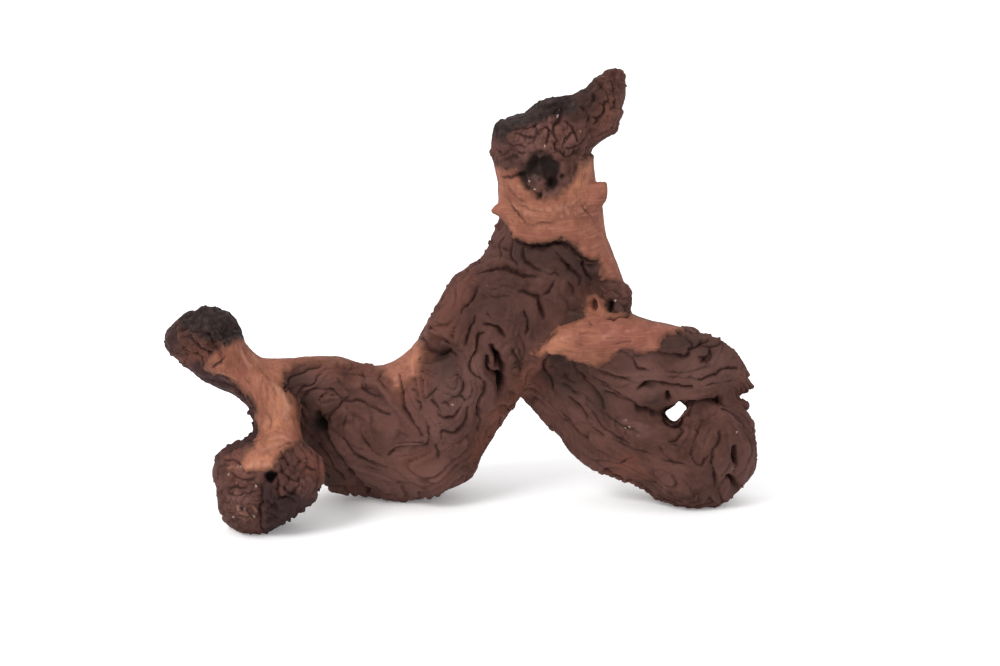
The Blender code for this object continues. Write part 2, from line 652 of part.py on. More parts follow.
def raise_relief(root):
    """Moves the skin in and out: swells, folds, drawn furrows, pits, and the smooth bare wood."""
    points, normals = points_and_normals(root)
    spots = seen_at(points)
    skin = BVHTree.FromPolygons(
        [Vector(p) for p in points], [tuple(f.vertices) for f in root.data.polygons]
    )
    middles, ways, lines = on_skin([run for _, _, _, run in FURROWS], skin)
    tree = KDTree(len(middles))
    for i, middle in enumerate(middles):
        tree.insert(middle, i)
    tree.balance()
    found = [tree.find(p) for p in points]
    piece = np.array([index for _, index, _ in found])
    gap = np.array([distance for _, _, distance in found])
    sizes = np.array([furrow[:3] for furrow in FURROWS])[lines[piece]] * MM
    depths, widths, lips = sizes[:, 0], sizes[:, 1], sizes[:, 2]
    left = np.einsum("ij,ij->i", np.cross(normals, ways[piece]), points - middles[piece])
    side = np.clip(left / widths, -1.0, 1.0)
    drawn = depths * np.exp(-((gap / widths) ** FURROW_ROUNDNESS))
    drawn -= np.maximum(lips * side, 0.0) * np.exp(-gap / (LIP_REACH * widths))

    flow = growth(points, middles, ways)
    values = lattice(SEED)
    bare = bareness(points, spots, values)
    pattern = grain(points, flow, FOLD_SPACING, FOLD_REACH, FOLD_STRIDE, values) * FOLD_FLAPS
    calm = CALMEST + (1 - CALMEST) * eased(speckle(points + 0.3, CALM_SIZE, values), -0.5, 0.5)
    fold = FOLD_HEIGHT * flap(pattern) * calm * (1 - (1 - BARE_RELIEF) * bare)
    swell = speckle(points, SWELL_SIZE, values) * SWELL_HEIGHT * (1 - (1 - BARE_SWELL) * bare)
    relief = swell + fold + bare * BARE_RISE + FOLD_RISE * (1 - bare)
    relief -= np.where(np.abs(drawn) > LEAST_DRAWN, drawn, 0.0)
    relief -= pit_depths(points, spots, skin, values)
    relief *= eased(points[:, 2] - points[:, 2].min(), 0.0, WORN_HEIGHT)
    set_points(root, points + normals * relief[:, None])


def cut_opening(root, cutters):
    """The hole that goes through the right lobe."""
    corners = smooth_run(OPENING + OPENING[:1], 3)[:-1]
    middle = corners.mean(axis=0)
    shape = bmesh.new()
    loops = []
    for depth, size in OPENING_RUN:
        ring = middle + (corners - middle) * size
        loops.append([shape.verts.new(place(at, depth * MM)) for at in ring])
    shape.faces.new(loops[0])
    shape.faces.new(loops[-1])
    for near, far in zip(loops, loops[1:]):
        for i in range(len(near)):
            j = (i + 1) % len(near)
            shape.faces.new((near[i], near[j], far[j], far[i]))
    bmesh.ops.recalc_face_normals(shape, faces=shape.faces[:])
    mesh = bpy.data.meshes.new("opening_cutter")
    shape.to_mesh(mesh)
    shape.free()
    cutter = bpy.data.objects.new("opening_cutter", mesh)
    cutters.objects.link(cutter)
    cutter.hide_render = True
    cutter.display_type = "WIRE"
    cut = root.modifiers.new("opening", "BOOLEAN")
    cut.operation = "DIFFERENCE"
    cut.solver = "EXACT"
    cut.object = cutter
    apply_modifiers(root)


def keep_largest(root):
    """Drops any sliver that came loose from the one skin."""
    shape = bmesh.new()
    shape.from_mesh(root.data)
    bmesh.ops.dissolve_degenerate(shape, dist=MERGE_DISTANCE, edges=shape.edges[:])
    bmesh.ops.triangulate(shape, faces=shape.faces[:])
    left = set(shape.verts)
    shells = []
    while left:
        shell = {left.pop()}
        front = list(shell)
        while front:
            here = front.pop()
            found = {edge.other_vert(here) for edge in here.link_edges} - shell
            shell |= found
            front += found
        left -= shell
        shells.append(shell)
    shells.sort(key=len)
    bmesh.ops.delete(shape, geom=[vert for shell in shells[:-1] for vert in shell], context="VERTS")
    shape.to_mesh(root.data)
    shape.free()


def thin_out(root):
    """Fewer, larger triangles, with the furrows kept."""
    root.data.calc_loop_triangles()
    decimate = root.modifiers.new("thin_out", "DECIMATE")
    decimate.ratio = MOST_TRIANGLES / len(root.data.loop_triangles)
    decimate.use_collapse_triangulate = True
    apply_modifiers(root)


def set_on_floor(root):
    """Cuts the lowest spots flat and puts the origin at the middle of the base."""
    points, _ = points_and_normals(root)
    columns = seen_at(points)[:, 0]
    feet = [points[(columns > left) & (columns < right), 2].min() for left, right in FOOT_COLUMNS]
    low, high = points.min(axis=0), points.max(axis=0)
    low[2] = max(feet)
    shape = bmesh.new()
    shape.from_mesh(root.data)
    cut = bmesh.ops.bisect_plane(
        shape,
        geom=shape.verts[:] + shape.edges[:] + shape.faces[:],
        plane_co=(0.0, 0.0, low[2] + FOOT_DEPTH),
        plane_no=(0.0, 0.0, 1.0),
        clear_inner=True,
    )
    rim = [item for item in cut["geom_cut"] if isinstance(item, bmesh.types.BMEdge)]
    bmesh.ops.holes_fill(shape, edges=rim, sides=0)
    bmesh.ops.triangulate(shape, faces=shape.faces[:])
    middle = Vector(((low[0] + high[0]) / 2, (low[1] + high[1]) / 2, low[2] + FOOT_DEPTH))
    bmesh.ops.translate(shape, verts=shape.verts[:], vec=-middle)
    bmesh.ops.recalc_face_normals(shape, faces=shape.faces[:])
    shape.to_mesh(root.data)
    shape.free()
    return middle


def root_material():
    material = bpy.data.materials.new("root_wood")
    material.use_nodes = True
    shader = material.node_tree.nodes["Principled BSDF"]
    shader.inputs["Base Color"].default_value = BARK_COLOUR
    shader.inputs["Roughness"].default_value = BARK_ROUGHNESS
    shader.inputs["Metallic"].default_value = 0.0
    return material


def main():
    clear_scene()
    collection = bpy.data.collections.new("dry_root")
    bpy.context.scene.collection.children.link(collection)
    cutters = bpy.data.collections.new("cutters")
    bpy.context.scene.collection.children.link(cutters)
    root = rough_root()
    collection.objects.link(root)
    fuse(root, FUSE_VOXEL, FUSE_SMOOTHING)
    add_flakes(root)
    fuse(root, FUSE_VOXEL, 0)
    cut_opening(root, cutters)
    fuse(root, FUSE_VOXEL, 1)
    raise_relief(root)
    fuse(root, SKIN_VOXEL, 1)
    thin_out(root)
    base = set_on_floor(root)
    keep_largest(root)
    root.data.materials.clear()
    root.data.materials.append(root_material())
    return base


base_middle = main()
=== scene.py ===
"""The dry root as it looks: its skin in fine relief, its bark, bare wood and char, on a pale floor.

The skin is raised over the same limbs as the solid, with the same furrows and flaps, and then gets
what the solid leaves out: sharper creases, small folds, crumbs, chips, grain and splinters, and the
colour of each kind of wood, with painted shade in the creases, cracks and knot holes and a painted
highlight on the crests of the folds.
"""

import itertools
import math

import bmesh
import bpy
import numpy as np
from mathutils import Matrix, Vector
from mathutils.bvhtree import BVHTree
from mathutils.kdtree import KDTree


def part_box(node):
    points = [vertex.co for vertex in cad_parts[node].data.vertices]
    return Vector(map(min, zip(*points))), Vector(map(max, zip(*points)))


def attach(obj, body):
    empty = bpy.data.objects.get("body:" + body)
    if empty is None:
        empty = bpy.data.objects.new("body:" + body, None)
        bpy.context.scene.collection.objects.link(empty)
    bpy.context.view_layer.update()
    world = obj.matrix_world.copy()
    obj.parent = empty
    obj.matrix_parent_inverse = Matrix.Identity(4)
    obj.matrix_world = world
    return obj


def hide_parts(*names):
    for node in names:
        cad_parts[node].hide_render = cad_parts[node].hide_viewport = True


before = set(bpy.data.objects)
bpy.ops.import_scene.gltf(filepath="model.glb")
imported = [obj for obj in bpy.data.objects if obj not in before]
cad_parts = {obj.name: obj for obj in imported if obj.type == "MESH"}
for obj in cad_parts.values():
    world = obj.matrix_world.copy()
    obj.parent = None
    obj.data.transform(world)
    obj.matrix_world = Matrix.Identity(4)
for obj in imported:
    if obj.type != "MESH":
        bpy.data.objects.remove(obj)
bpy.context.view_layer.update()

# Driving dimensions
ROOT_WIDTH = 0.295
DRAWING_WIDTH = 590.0
UNIT = ROOT_WIDTH / DRAWING_WIDTH
MM = 0.001

# The front view: its middle, how far off it is drawn from and how far down it looks
VIEW_MIDDLE = (500.0, 333.0)
VIEW_DISTANCE = 2.0
VIEW_TILT = math.radians(15.0)
VIEW_AIM = Vector((0.019, 0.0, 0.0917))
ACROSS = Vector((1.0, 0.0, 0.0))
AHEAD = Vector((0.0, math.cos(VIEW_TILT), -math.sin(VIEW_TILT)))
UPWARD = Vector((0.0, math.sin(VIEW_TILT), math.cos(VIEW_TILT)))
EYE = VIEW_AIM - AHEAD * VIEW_DISTANCE

# Fineness of the skin
RING_SIDES = 28
STEPS_PER_SPAN = 4
CAP_STEPS = (0.4, 0.75, 0.97)
CAP_BULGE = 0.35
LUMP_SIDES = 28
LUMP_RINGS = 18
FURROW_STEPS = 12
FURROW_PIECE = 0.4 * MM
WIDEST_GAP = 4.0 * MM
FUSE_VOXEL = 1.6 * MM
FUSE_SMOOTHING = 8
FINE_VOXEL = 0.62 * MM
NEIGHBOURS = 4
MOST_TRIANGLES = 190000
WORN_HEIGHT = 6.0 * MM
SEED = 7

# The middle of the solid's base in the front view's own frame
BASE_MIDDLE = Vector((-0.000031, -0.005017, -0.000738))

# Limbs: each station is a column and row of the upper or inner edge, a column and row of the lower
# or outer edge, a depth in mm and a half thickness in mm
LIMBS = {
    "left_limb": [
        (168, 325, 165, 351, 2, 9), (180, 315, 180, 364, 2, 17), (196, 311, 190, 373, 1, 22),
        (213, 309, 200, 381, 0, 24), (229, 313, 210, 385, -1, 23), (239, 327, 221, 390, -2, 20),
        (246, 345, 232, 394, -3, 17), (260, 358, 240, 399, -4, 16), (283, 372, 246, 405, -6, 17),
        (295, 395, 249, 411, -9, 17), (300, 412, 251, 420, -13, 17), (300, 427, 250, 430, -18, 18),
        (303, 440, 243, 440, -23, 20), (316, 452, 221, 449, -28, 23), (324, 463, 212, 461, -32, 25),
        (323, 476, 211, 475, -34, 25), (317, 488, 216, 488, -35, 25), (313, 500, 218, 501, -36, 24),
        (303, 511, 220, 514, -36, 22), (288, 521, 225, 523, -36, 18), (272, 529, 235, 529, -36, 12),
    ],
    "bridge": [
        (255, 362, 262, 398, -4, 12), (272, 359, 278, 400, -3, 13), (288, 359, 294, 402, 0, 14),
        (303, 357, 308, 402, 5, 17), (322, 357, 326, 405, 9, 20), (345, 359, 350, 405, 13, 22),
    ],
    "belly_and_trunk": [
        (292, 378, 298, 452, 11, 13), (312, 364, 327, 488, 15, 24), (335, 357, 348, 494, 15, 30),
        (355, 363, 372, 497, 16, 33), (374, 368, 400, 498, 16, 34), (390, 363, 430, 496, 17, 34),
        (404, 356, 452, 487, 17, 34), (415, 345, 471, 467, 17, 33), (426, 327, 482, 447, 18, 31),
        (434, 309, 493, 428, 17, 30), (443, 294, 512, 402, 16, 29), (454, 275, 537, 382, 16, 29),
        (470, 265, 566, 352, 17, 28), (480, 248, 605, 325, 18, 28), (488, 234, 624, 297, 18, 27),
        (495, 222, 618, 263, 17, 26), (498, 210, 604, 230, 17, 25), (498, 195, 602, 206, 17, 25),
        (498, 181, 596, 181, 17, 25), (495, 165, 594, 163, 17, 25), (492, 149, 594, 150, 17, 25),
        (493, 135, 592, 137, 17, 24), (496, 122, 586, 125, 17, 22), (513, 115, 578, 113, 17, 18),
        (532, 102, 568, 99, 17, 13),
    ],
    "horn": [
        (540, 116, 592, 152, 17, 17), (560, 100, 603, 141, 17, 17), (574, 93, 619, 133, 18, 15),
        (585, 86, 626, 118, 19, 13), (593, 77, 626, 99, 20, 11), (601, 70, 629, 84, 21, 8),
        (609, 64, 629, 72, 21, 6),
    ],
    "arm": [
        (534, 340, 536, 378, 8, 18), (556, 326, 556, 368, 3, 20), (580, 318, 580, 370, 0, 21),
        (606, 310, 604, 370, 0, 21), (632, 315, 628, 367, 1, 20), (655, 322, 652, 366, 2, 19),
        (680, 327, 677, 367, 4, 18), (700, 331, 696, 371, 5, 17), (719, 339, 710, 375, 6, 15),
        (735, 350, 724, 379, 7, 12),
    ],
    "lobe_upper": [
        (540, 335, 540, 396, 24, 18), (580, 325, 572, 420, 19, 22), (615, 325, 602, 432, 15, 24),
        (648, 329, 634, 430, 12, 24), (678, 332, 664, 425, 10, 23), (704, 338, 696, 424, 9, 22),
        (726, 347, 720, 414, 8, 18), (742, 360, 735, 398, 8, 12), (752, 378, 742, 390, 8, 6),
    ],
    "lobe_lower": [
        (572, 350, 524, 399, 24, 17), (602, 362, 544, 415, 21, 21), (623, 376, 560, 433, 18, 23),
        (642, 390, 573, 452, 15, 25), (662, 404, 601, 469, 12, 26), (676, 410, 638, 484, 10, 26),
        (688, 412, 676, 506, 9, 26), (696, 410, 709, 507, 8, 26), (702, 405, 739, 492, 8, 25),
        (704, 398, 757, 464, 8, 23), (706, 390, 755, 440, 8, 20), (712, 386, 747, 419, 8, 16),
        (718, 388, 738, 406, 8, 11),
    ],
}

# Flakes and splinters with thin edges, as the limbs are given
FLAKES = {
    "neck_flake_left": [
        (508, 199, 512, 226, 10, 9), (500, 203, 505, 221, 8, 6), (494, 207, 497, 217, 7, 3.5),
        (491, 210, 493, 214, 7, 1.5),
    ],
    "neck_flake_right": [
        (588, 182, 591, 214, 8, 9), (598, 182, 599, 209, 6, 5.5), (605, 182, 605, 201, 5, 3),
    ],
    "lobe_splinter_upper": [
        (734, 366, 734, 393, 8, 9), (745, 376, 743, 392, 8, 5), (755, 385, 753, 389, 8, 2),
    ],
    "lobe_splinter_lower": [
        (720, 391, 722, 412, 8, 9), (732, 393, 734, 411, 7, 6.5), (739, 399, 740, 409, 6, 4),
        (746, 404, 745, 407, 6, 2),
    ],
}

# Lumps that stand out of the limbs: (middle in the front view, depth in mm, half sizes in mm)
LUMPS = {
    "shoulder_knot": ((612, 298), 6, (10, 15, 9)),
    "knob_left_half": ((243, 492), -40, (13, 20, 19)),
    "knob_right_half": ((297, 476), -34, (13, 22, 16)),
    "back_heel": ((415, 456), 24, (27, 21, 20)),
    "back_shoulder": ((540, 290), 34, (26, 16, 28)),
}

# Furrows seen from the front: (depth, width and lip in mm, points in the front view). A positive
# lip stands along the left side of the way the furrow is drawn, a negative one along the right
FURROWS = [
    (6.0, 3.4, 0.0, [(316, 414), (318, 428), (324, 438), (330, 446)]),
    (4.0, 2.8, 1.4, [(329, 443), (336, 456), (343, 468), (352, 480), (362, 490), (368, 496)]),
    (1.8, 1.6, -0.8, [(322, 417), (333, 411), (341, 403), (352, 400), (362, 401), (374, 408), (389, 416)]),
    (2.6, 1.7, 1.0, [(400, 374), (403, 390), (405, 405), (411, 418), (422, 434)]),
    (1.8, 1.4, -0.9, [(426, 418), (429, 431), (428, 446), (410, 449), (397, 451), (388, 458)]),
    (1.5, 1.4, 0.7, [(343, 440), (352, 452), (363, 460), (376, 466), (386, 471)]),
    (1.4, 1.4, 0.6, [(360, 426), (363, 438), (371, 450), (380, 459)]),
    (1.7, 1.5, -0.6, [(438, 412), (446, 418), (456, 417), (463, 409)]),
    (1.8, 1.5, 0.6, [(470, 408), (470, 419), (465, 429), (456, 435), (445, 432), (443, 440)]),
    (3.0, 2.0, 0.0, [(421, 337), (425, 346), (433, 351), (443, 352), (453, 357)]),
    (6.5, 2.8, 0.0, [(492, 347), (496, 357), (501, 367), (504, 376)]),
    (6.5, 3.0, 1.0, [(487, 358), (490, 369), (497, 375), (503, 382), (502, 393)]),
    (2.2, 1.6, -0.8, [(484, 331), (478, 337), (476, 350), (471, 364), (473, 375), (483, 382)]),
    (2.2, 1.6, 0.8, [(485, 383), (486, 393), (481, 407), (481, 432)]),
    (3.0, 2.2, -0.6, [(464, 346), (467, 333), (473, 318)]),
    (2.8, 2.0, 0.8, [(483, 325), (493, 325), (501, 330), (505, 338)]),
    (2.6, 2.0, -0.9, [(520, 293), (531, 294), (539, 300), (542, 309), (546, 320)]),
    (2.2, 1.8, 0.6, [(524, 311), (530, 323), (528, 336)]),
    (3.0, 2.2, -1.0, [(452, 297), (459, 281), (470, 272), (487, 269), (508, 268), (520, 275), (536, 279)]),
    (2.4, 1.9, 0.7, [(510, 233), (510, 250), (512, 259), (518, 265)]),
    (2.2, 1.8, 0.6, [(521, 244), (522, 256), (531, 264), (540, 271)]),
    (1.8, 1.5, -0.8, [(556, 254), (565, 261), (571, 271), (580, 279), (579, 288)]),
    (1.6, 1.5, 0.6, [(553, 281), (552, 291), (544, 297)]),
    (2.4, 1.8, 0.8, [(575, 249), (583, 262), (587, 274), (593, 283)]),
    (3.0, 1.8, 0.6, [(507, 232), (512, 240), (527, 245), (542, 246), (556, 244), (567, 244), (573, 248),
                     (578, 255), (586, 260), (599, 261)]),
    (2.4, 1.9, 0.6, [(476, 283), (473, 294), (466, 304), (460, 313)]),
    (2.8, 2.0, 1.0, [(549, 360), (545, 370), (551, 382), (556, 396)]),
    (2.2, 1.6, 1.0, [(573, 362), (576, 373), (586, 386), (597, 397), (603, 408)]),
    (2.0, 1.6, 0.9, [(569, 397), (579, 409), (588, 424), (601, 437)]),
    (1.6, 1.5, 0.7, [(549, 401), (556, 412), (566, 424)]),
    (2.6, 1.8, 1.2, [(604, 395), (620, 400), (636, 408), (650, 412), (664, 414)]),
    (3.0, 2.0, 1.0, [(637, 391), (648, 384), (665, 385), (692, 388)]),
    (5.0, 2.4, 1.2, [(636, 360), (645, 356), (654, 353), (668, 357), (690, 357)]),
    (1.7, 1.5, 0.8, [(618, 353), (630, 361), (637, 370), (652, 370)]),
    (2.0, 1.6, -1.0, [(700, 380), (717, 373), (728, 367), (739, 368)]),
    (4.0, 2.6, 0.8, [(682, 407), (690, 406), (702, 404), (716, 402), (730, 401)]),
    (2.2, 1.4, 0.4, [(668, 393), (668, 403)]),
    (1.8, 1.5, 0.6, [(678, 423), (682, 432), (677, 439), (668, 441)]),
    (2.0, 1.6, 0.9, [(701, 418), (697, 432), (689, 447), (691, 461), (699, 468), (708, 456)]),
    (2.2, 1.6, 0.9, [(720, 429), (718, 441), (713, 452), (712, 467), (717, 479), (716, 490)]),
    (4.0, 2.6, 0.0, [(736, 447), (737, 457), (740, 466)]),
    (3.6, 2.2, 0.0, [(731, 479), (737, 487)]),
    (1.5, 1.4, 0.6, [(660, 463), (672, 466), (683, 470)]),
    (1.5, 1.4, -0.6, [(721, 408), (731, 409), (742, 421)]),
    (2.4, 1.8, 0.8, [(686, 357), (695, 350), (702, 341), (709, 338)]),
    (1.7, 1.5, 0.6, [(700, 362), (709, 357), (712, 347)]),
    (1.6, 1.4, 0.6, [(193, 344), (200, 352), (214, 355)]),
    (1.6, 1.4, 0.7, [(203, 329), (211, 338), (213, 347), (219, 353), (222, 364)]),
    (2.0, 1.5, 0.8, [(277, 474), (279, 484), (282, 496), (297, 505)]),
    (1.7, 1.4, 0.6, [(302, 476), (300, 487), (293, 498)]),
    (1.6, 1.5, 0.5, [(219, 487), (232, 486), (246, 489)]),
    (2.2, 1.8, 1.2, [(262, 486), (263, 498), (261, 512), (263, 530)]),
    (2.0, 1.6, 0.8, [(281, 451), (288, 456), (289, 466)]),
    (2.0, 1.6, 0.8, [(564, 102), (562, 115), (556, 124)]),
    (1.6, 1.4, 0.7, [(547, 121), (551, 133), (548, 145)]),
    (1.6, 1.4, 0.6, [(611, 98), (604, 110), (598, 124)]),
    (1.8, 1.5, -0.8, [(512, 128), (527, 126), (540, 120)]),
]
LIP_REACH = 3.2
TAPERED = 0.5

# Knot holes and pockets: (middle in the front view, half width, half height and depth in mm)
PITS = [
    ((541, 176), 10.0, 9.6, 7.5),
    ((521, 175), 2.8, 1.8, 4.5),
    ((271, 477), 3.0, 3.0, 7.0),
    ((611, 305), 2.6, 3.2, 5.0),
    ((594, 305), 1.3, 2.8, 2.8),
    ((318, 426), 3.6, 5.0, 3.5),
    ((435, 354), 5.0, 3.0, 2.4),
    ((648, 387), 4.0, 2.0, 2.2),
    ((555, 362), 4.6, 3.0, 2.4),
    ((503, 384), 1.8, 4.2, 4.5),
    ((498, 361), 1.6, 4.0, 4.0),
    ((691, 406), 4.5, 1.3, 3.0),
]
PIT_REACH = 15.0 * MM
PIT_EDGE_SIZE = 3.2 * MM
PIT_RAGGEDNESS = 0.16
PIT_STEEPNESS = 4
# The broken stub of a twig that stands inside the hollow of the top, given in the same way
STUB = ((539, 185), 6.4, 6.2, 5.6)

# Bare wood, where the skin is smooth: outlines in the front view
BARE_WOOD = [
    [(204, 371), (214, 352), (226, 345), (232, 336), (250, 336), (263, 352), (300, 350), (345, 352),
     (392, 354), (411, 338), (420, 337), (424, 352), (424, 366), (418, 378), (408, 384), (398, 390),
     (392, 392), (388, 384), (380, 371), (366, 367), (330, 363), (300, 365), (284, 371), (284, 388),
     (296, 402), (301, 420), (303, 440), (294, 448), (282, 453), (280, 461), (270, 471), (248, 471),
     (240, 464), (244, 454), (251, 446), (257, 432), (259, 416), (256, 403), (239, 390), (224, 377),
     (212, 376)],
    [(490, 164), (510, 167), (521, 173), (526, 187), (533, 196), (545, 199), (557, 196), (566, 189),
     (573, 178), (580, 166), (588, 157), (600, 156), (612, 182), (606, 212), (624, 250), (634, 276),
     (622, 286), (612, 282), (600, 278), (599, 258), (585, 257), (577, 252), (573, 244), (566, 241),
     (556, 241), (542, 243), (527, 243), (512, 236), (506, 224), (501, 216), (486, 218), (486, 196)],
    [(541, 359), (530, 356), (538, 345), (549, 334), (562, 326), (572, 321), (582, 318), (583, 308),
     (588, 299), (597, 296), (604, 301), (609, 313), (622, 315), (636, 314), (650, 318), (672, 322),
     (686, 328), (677, 335), (661, 337), (662, 348), (657, 355), (641, 354), (632, 350), (622, 353),
     (613, 359), (603, 364), (590, 367), (576, 364), (563, 357), (548, 354)],
]

# Folds that run with the wood and lie over one another like flaps: the spacing of the noise they
# follow, how far it is drawn out each way, how many flaps there are to it, and their height
FOLD_SPACING = 13.0 * MM
FOLD_REACH = 20.0 * MM
FOLD_STRIDE = 2.0 * MM
FOLD_FLAPS = 1.15
FOLD_HEIGHT = 4.4 * MM
FOLD_EDGE = 0.10
CALM_SIZE = 24.0 * MM
CALMEST = 0.45
FLOW_CELL = 6.0 * MM
LIMB_SWAY = 14.0 * MM
FURROW_SWAY = 6.0 * MM
FURROW_PULL = 5.0
FURROW_THINNING = 6
STRAY_PULL = 1e-9 * np.array([1.0, 0, 0, 0, 0.5, 0, 0, 0, 0.5])
CELLS_AT_A_TIME = 4000
SWELL_HEIGHT = 1.6 * MM
SWELL_SIZE = 16.0 * MM
BARE_RELIEF = 0.12
BARE_SWELL = 0.3
BARE_RISE = 0.2 * MM
FOLD_RISE = -1.9 * MM
LATTICE = 48

# The opening through the right lobe: its outline in the front view, and (depth in mm, size) along it
OPENING = [(663, 413), (672, 408), (681, 400), (683, 404), (687, 409), (681, 414), (674, 422), (668, 417)]
OPENING_RUN = [(-45, 3.0), (-14, 1.15), (-2, 0.8), (18, 0.8), (30, 1.15), (65, 2.4)]

# Finer relief and colour, all on the skin
SHARPNESS = 0.34
FOLD_FADE = (2.0 * MM, 11.0 * MM, 0.22)
CREST_HIGHLIGHT_AT = 0.84
FURROW_JITTERS = ((5.0 * MM, 0.6 * MM), (2.0 * MM, 0.3 * MM))
FURROW_UNEVENNESS = 0.5
SMALL_SPACING = 6.5 * MM
SMALL_REACH = 12.0 * MM
SMALL_STRIDE = 1.6 * MM
SMALL_FLAPS = 1.0
SMALL_HEIGHT = 0.3 * MM
GRAIN_SPACING = 1.3 * MM
GRAIN_REACH = 7.0 * MM
GRAIN_STRIDE = 1.0 * MM
GRAIN_HEIGHT = 0.07 * MM
BARE_WAVE = 0.13 * MM
CRUMB_SIZES = (5.5 * MM, 3.0 * MM)
CRUMB_HEIGHT = 1.5 * MM
CRUMBS_ELSEWHERE = 0.12
STUB_ROUGHNESS = 0.9 * MM
STUB_GRAIN = 1.8 * MM
CHIP_SIZE = 6.5 * MM
CHIP_HEIGHT = 1.0 * MM
RUGGED_SIZES = (3.6 * MM, 1.7 * MM)
RUGGED_HEIGHT = 0.8 * MM
RUGGED_ELSEWHERE = 0.22
BUSY_SIZE = 15.0 * MM
UNEVEN_SIZE = 5.0 * MM
FINE_NARROWNESS = 0.65
STREAK_EDGE_SIZE = 1.6 * MM
# Widths of the painted shade along fold creases and of the painted highlight on their crests, and the
# depths at which the painted shade of furrows and of hollows is full
CREASE_SHADE_WIDTHS = (0.03, 0.05)
CREST_HIGHLIGHT_WIDTH = 0.09
FULL_SHADE_DEPTH = 1.3 * MM
HOLLOW_SHADE_DEPTH = 4.5 * MM

